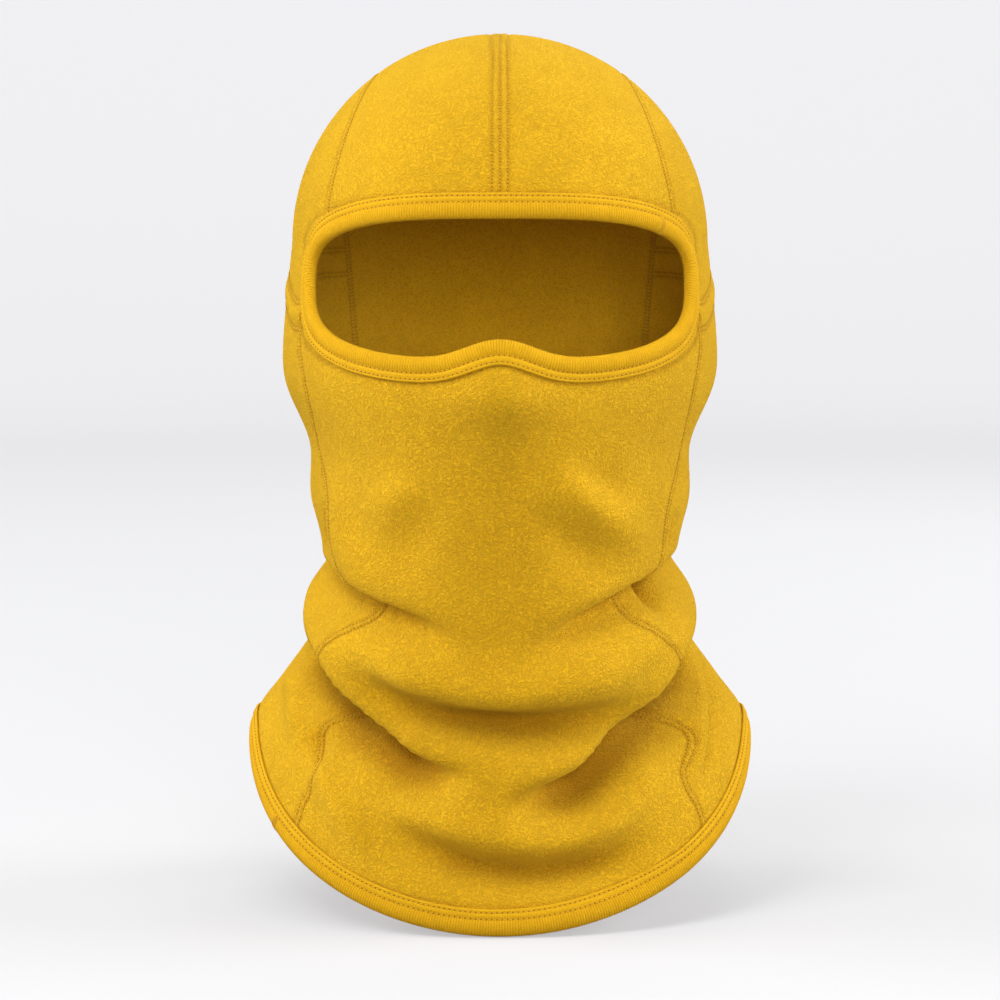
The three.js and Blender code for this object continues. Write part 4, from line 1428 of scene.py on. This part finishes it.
class BALACLAVA_OT_stage(Operator):
    """Set the floor, the lights and the camera"""

    bl_idname = "balaclava.stage"
    bl_label = "Stage"

    def execute(self, context):
        stage = context.scene.balaclava.stage
        scene = context.scene
        scene.view_settings.view_transform = "Standard"
        low, _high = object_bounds()
        floor_z = low.z - FLOOR_GAP
        make_backdrop(floor_z, stage)
        camera = bpy.data.cameras.new("camera")
        camera.lens = stage.lens / MM
        camera.sensor_width = 36
        camera.clip_end = 50
        eye = bpy.data.objects.new("camera", camera)
        scene.collection.objects.link(eye)
        target = Vector(TARGET)
        tilt = stage.camera_rise
        away = Vector((0, -math.cos(tilt), math.sin(tilt)))
        eye.location = target + away * stage.camera_distance
        eye.rotation_euler = (math.pi / 2 - tilt, 0, 0)
        scene.camera = eye
        for name, place, size, power in (
            ("key_light", (-0.75, -1.15, 1.2), 0.9, stage.key_power),
            ("front_light", (0.2, -1.9, 0.2), 0.5, stage.front_power),
            ("left_light", (-2.2, 0.35, 0.45), 1.6, stage.side_power),
            ("right_light", (2.2, 0.25, 0.45), 1.6, stage.side_power * 1.15),
            ("back_light", (0.5, 1.6, 1.0), 1.2, stage.back_power),
            ("top_light", (0.0, -0.45, 1.6), 1.1, stage.top_power),
        ):
            hang_lamp(name, place, size, power, target - Vector(place))
        inward = Vector((0, 0.17, -0.1))
        hang_lamp("lining_light", (0, -0.075, -0.06), 0.04, stage.lining_power, inward)
        world = bpy.data.worlds.new("studio")
        world.use_nodes = True
        sky = world.node_tree.nodes["Background"]
        fill(sky, {"Color": (0.96, 0.97, 1.0, 1), "Strength": stage.sky_strength})
        scene.world = world
        return {"FINISHED"}


def hang_lamp(name, place, size, power, aim):
    light = bpy.data.lights.new(name, "AREA")
    light.size = size
    light.energy = power
    lamp = bpy.data.objects.new(name, light)
    lamp.location = place
    lamp.rotation_mode = "QUATERNION"
    lamp.rotation_quaternion = aim.to_track_quat("-Z", "Y")
    bpy.context.scene.collection.objects.link(lamp)


def make_backdrop(floor_z, stage):
    """A pale floor that sweeps up into a low wall all round."""
    floor_radius, bend, wall_top, sides = 2.6, 1.0, 2.2, 64
    profile = [(0.5, 0.0), (floor_radius, 0.0)]
    for angle in np.linspace(0, math.pi / 2, 13)[1:]:
        profile.append((floor_radius + bend * math.sin(angle), bend * (1 - math.cos(angle))))
    profile.append((floor_radius + bend, wall_top))
    points = [(0, 0, floor_z)]
    for k in range(sides):
        way = 2 * math.pi * k / sides
        points += [(r * math.cos(way), r * math.sin(way), floor_z + z) for r, z in profile]
    n = len(profile)
    faces = []
    for k in range(sides):
        a, b = 1 + n * k, 1 + n * ((k + 1) % sides)
        faces.append((0, a, b))
        faces += [(a + i, a + i + 1, b + i + 1, b + i) for i in range(n - 1)]
    mesh = bpy.data.meshes.new("backdrop")
    mesh.from_pydata(points, [], faces)
    mesh.shade_smooth()
    mesh.materials.append(backdrop_material(stage))
    floor = bpy.data.objects.new("backdrop", mesh)
    bpy.context.scene.collection.objects.link(floor)
    floor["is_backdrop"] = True


def backdrop_material(stage):
    """Pale to the camera, with a glow that grows outward, and dimmer to the light it sends back."""
    material = bpy.data.materials.new("pale_backdrop")
    material.use_nodes = True
    tree = material.node_tree
    calc = functools.partial(math_node, tree)
    shader = tree.nodes["Principled BSDF"]
    fill(shader, {
        "Roughness": 0.9, "Specular IOR Level": 0.0, "Emission Color": (0.88, 0.88, 0.9, 1),
    })
    seen = tree.nodes.new("ShaderNodeLightPath").outputs["Is Camera Ray"]
    place = tree.nodes.new("ShaderNodeVectorMath")
    place.operation = "LENGTH"
    coordinates = tree.nodes.new("ShaderNodeTexCoord")
    tree.links.new(coordinates.outputs["Object"], place.inputs[0])
    far = clamped(tree, calc("MULTIPLY", place.outputs["Value"], 0.35))
    glow = calc("ADD", calc("MULTIPLY", far, stage.wall_glow), stage.floor_glow)
    tree.links.new(calc("MULTIPLY", seen, glow), shader.inputs["Emission Strength"])
    dim, bright, shown = color_mix(tree, seen)
    dim.default_value = (0.3, 0.3, 0.31, 1)
    bright.default_value = (*stage.floor_color, 1)
    tree.links.new(shown, shader.inputs["Base Color"])
    return material


OPERATORS = (
    BALACLAVA_OT_crown_panels,
    BALACLAVA_OT_side_panels,
    BALACLAVA_OT_face_panel,
    BALACLAVA_OT_flat_seams,
    BALACLAVA_OT_seam_stitches,
    BALACLAVA_OT_bindings,
    BALACLAVA_OT_twin_stitches,
    BALACLAVA_OT_join_bars,
    BALACLAVA_OT_stage,
)


def number(name, description, default, unit="NONE"):
    return FloatProperty(name=name, description=description, default=default, unit=unit)


def length(name, description, default):
    return number(name, description, default, "LENGTH")


def power(name, description, default):
    return number(name, description, default, "POWER")


def color(name, description, default):
    return FloatVectorProperty(
        name=name, description=description, default=default, subtype="COLOR")


class ClothSizes(PropertyGroup):
    thickness: length("Cloth thickness", "Thickness of the fleece", 0.0018)
    seam_rise: length("Seam rise", "How far a flat seam stands up", 0.00045)
    needle_ditch: length("Needle ditch", "Depth of a needle row", 0.0003)
    tuft: length("Tuft size", "Size of the brushed tufts", 0.0012)
    rib_pitch: length("Rib pitch", "From one rib of a binding to the next", 0.00108)
    rib_height: length("Rib height", "Half the height of a rib", 0.00013)
    seam_pitch: length("Seam stitch pitch", "From one seam stitch to the next", 0.0015)
    twin_pitch: length("Twin stitch pitch", "From one twin stitch to the next", 0.0021)
    thread_width: length("Thread width", "Width of the sewing thread", 0.00045)


class ClothColors(PropertyGroup):
    fleece: color("Fleece", "Colour of the tips of the nap", (0.84, 0.455, 0.010))
    # painted shade: the colour in the gaps between the tufts, in needle lines and in deep folds
    fleece_shade: color("Fleece shade", "Painted shade between the tufts, in needle lines and in deep folds", (0.43, 0.18, 0.001))
    binding: color("Binding", "Colour of the ribbed bindings", (0.80, 0.45, 0.012))
    thread: color("Thread", "Colour of the sewing thread", (0.74, 0.42, 0.03))
    # painted shade inside a needle hole
    hole_shade: color("Needle hole shade", "Painted shade inside a needle hole", (0.20, 0.09, 0.002))


class StageSettings(PropertyGroup):
    lens: length("Lens", "Focal length of the camera", 0.1566)
    camera_distance: length("Camera distance", "From the camera to the balaclava", 1.8)
    camera_rise: FloatProperty(
        name="Camera rise", description="Angle of the camera above level", default=math.radians(5),
        subtype="ANGLE")
    key_power: power("Key light", "Power of the light at the upper left", 19.5)
    front_power: power("Front light", "Power of the light in front", 17.0)
    side_power: power("Side lights", "Power of the lights at the sides", 52.0)
    back_power: power("Back light", "Power of the light behind", 9.0)
    top_power: power("Top light", "Power of the light overhead", 12.0)
    lining_power: power("Lining light", "Power of the light that fills the inside", 0.025)
    sky_strength: number("Sky", "Strength of the even light all round", 0.15)
    floor_color: color("Floor", "Colour of the floor", (0.34, 0.34, 0.345))
    floor_glow: number("Floor glow", "Light that the floor gives of itself", 0.43)
    wall_glow: number("Wall glow", "Light that the wall gives on top of that", 0.34)


class BalaclavaSettings(PropertyGroup):
    sizes: PointerProperty(type=ClothSizes)
    colors: PointerProperty(type=ClothColors)
    stage: PointerProperty(type=StageSettings)


class BALACLAVA_PT_panel(Panel):
    """The balaclava's steps and settings"""

    bl_idname = "BALACLAVA_PT_panel"
    bl_label = "Balaclava"
    bl_space_type = "VIEW_3D"
    bl_region_type = "UI"
    bl_category = "Balaclava"

    def draw(self, context):
        layout = self.layout
        settings = context.scene.balaclava
        for operator in OPERATORS:
            layout.operator(operator.bl_idname)
        for group in (settings.sizes, settings.colors, settings.stage):
            box = layout.box()
            for name in group.__annotations__:
                box.prop(group, name)


SETTINGS = (ClothSizes, ClothColors, StageSettings, BalaclavaSettings)
CLASSES = (*SETTINGS, *OPERATORS, BALACLAVA_PT_panel)


def register():
    for cls in CLASSES:
        bpy.utils.register_class(cls)
    bpy.types.Scene.balaclava = PointerProperty(type=BalaclavaSettings)


def unregister():
    del bpy.types.Scene.balaclava
    for cls in reversed(CLASSES):
        bpy.utils.unregister_class(cls)


def main():
    register()
    for operator in OPERATORS:
        group, name = operator.bl_idname.split(".")
        getattr(getattr(bpy.ops, group), name)()


if __name__ == "__main__":
    main()
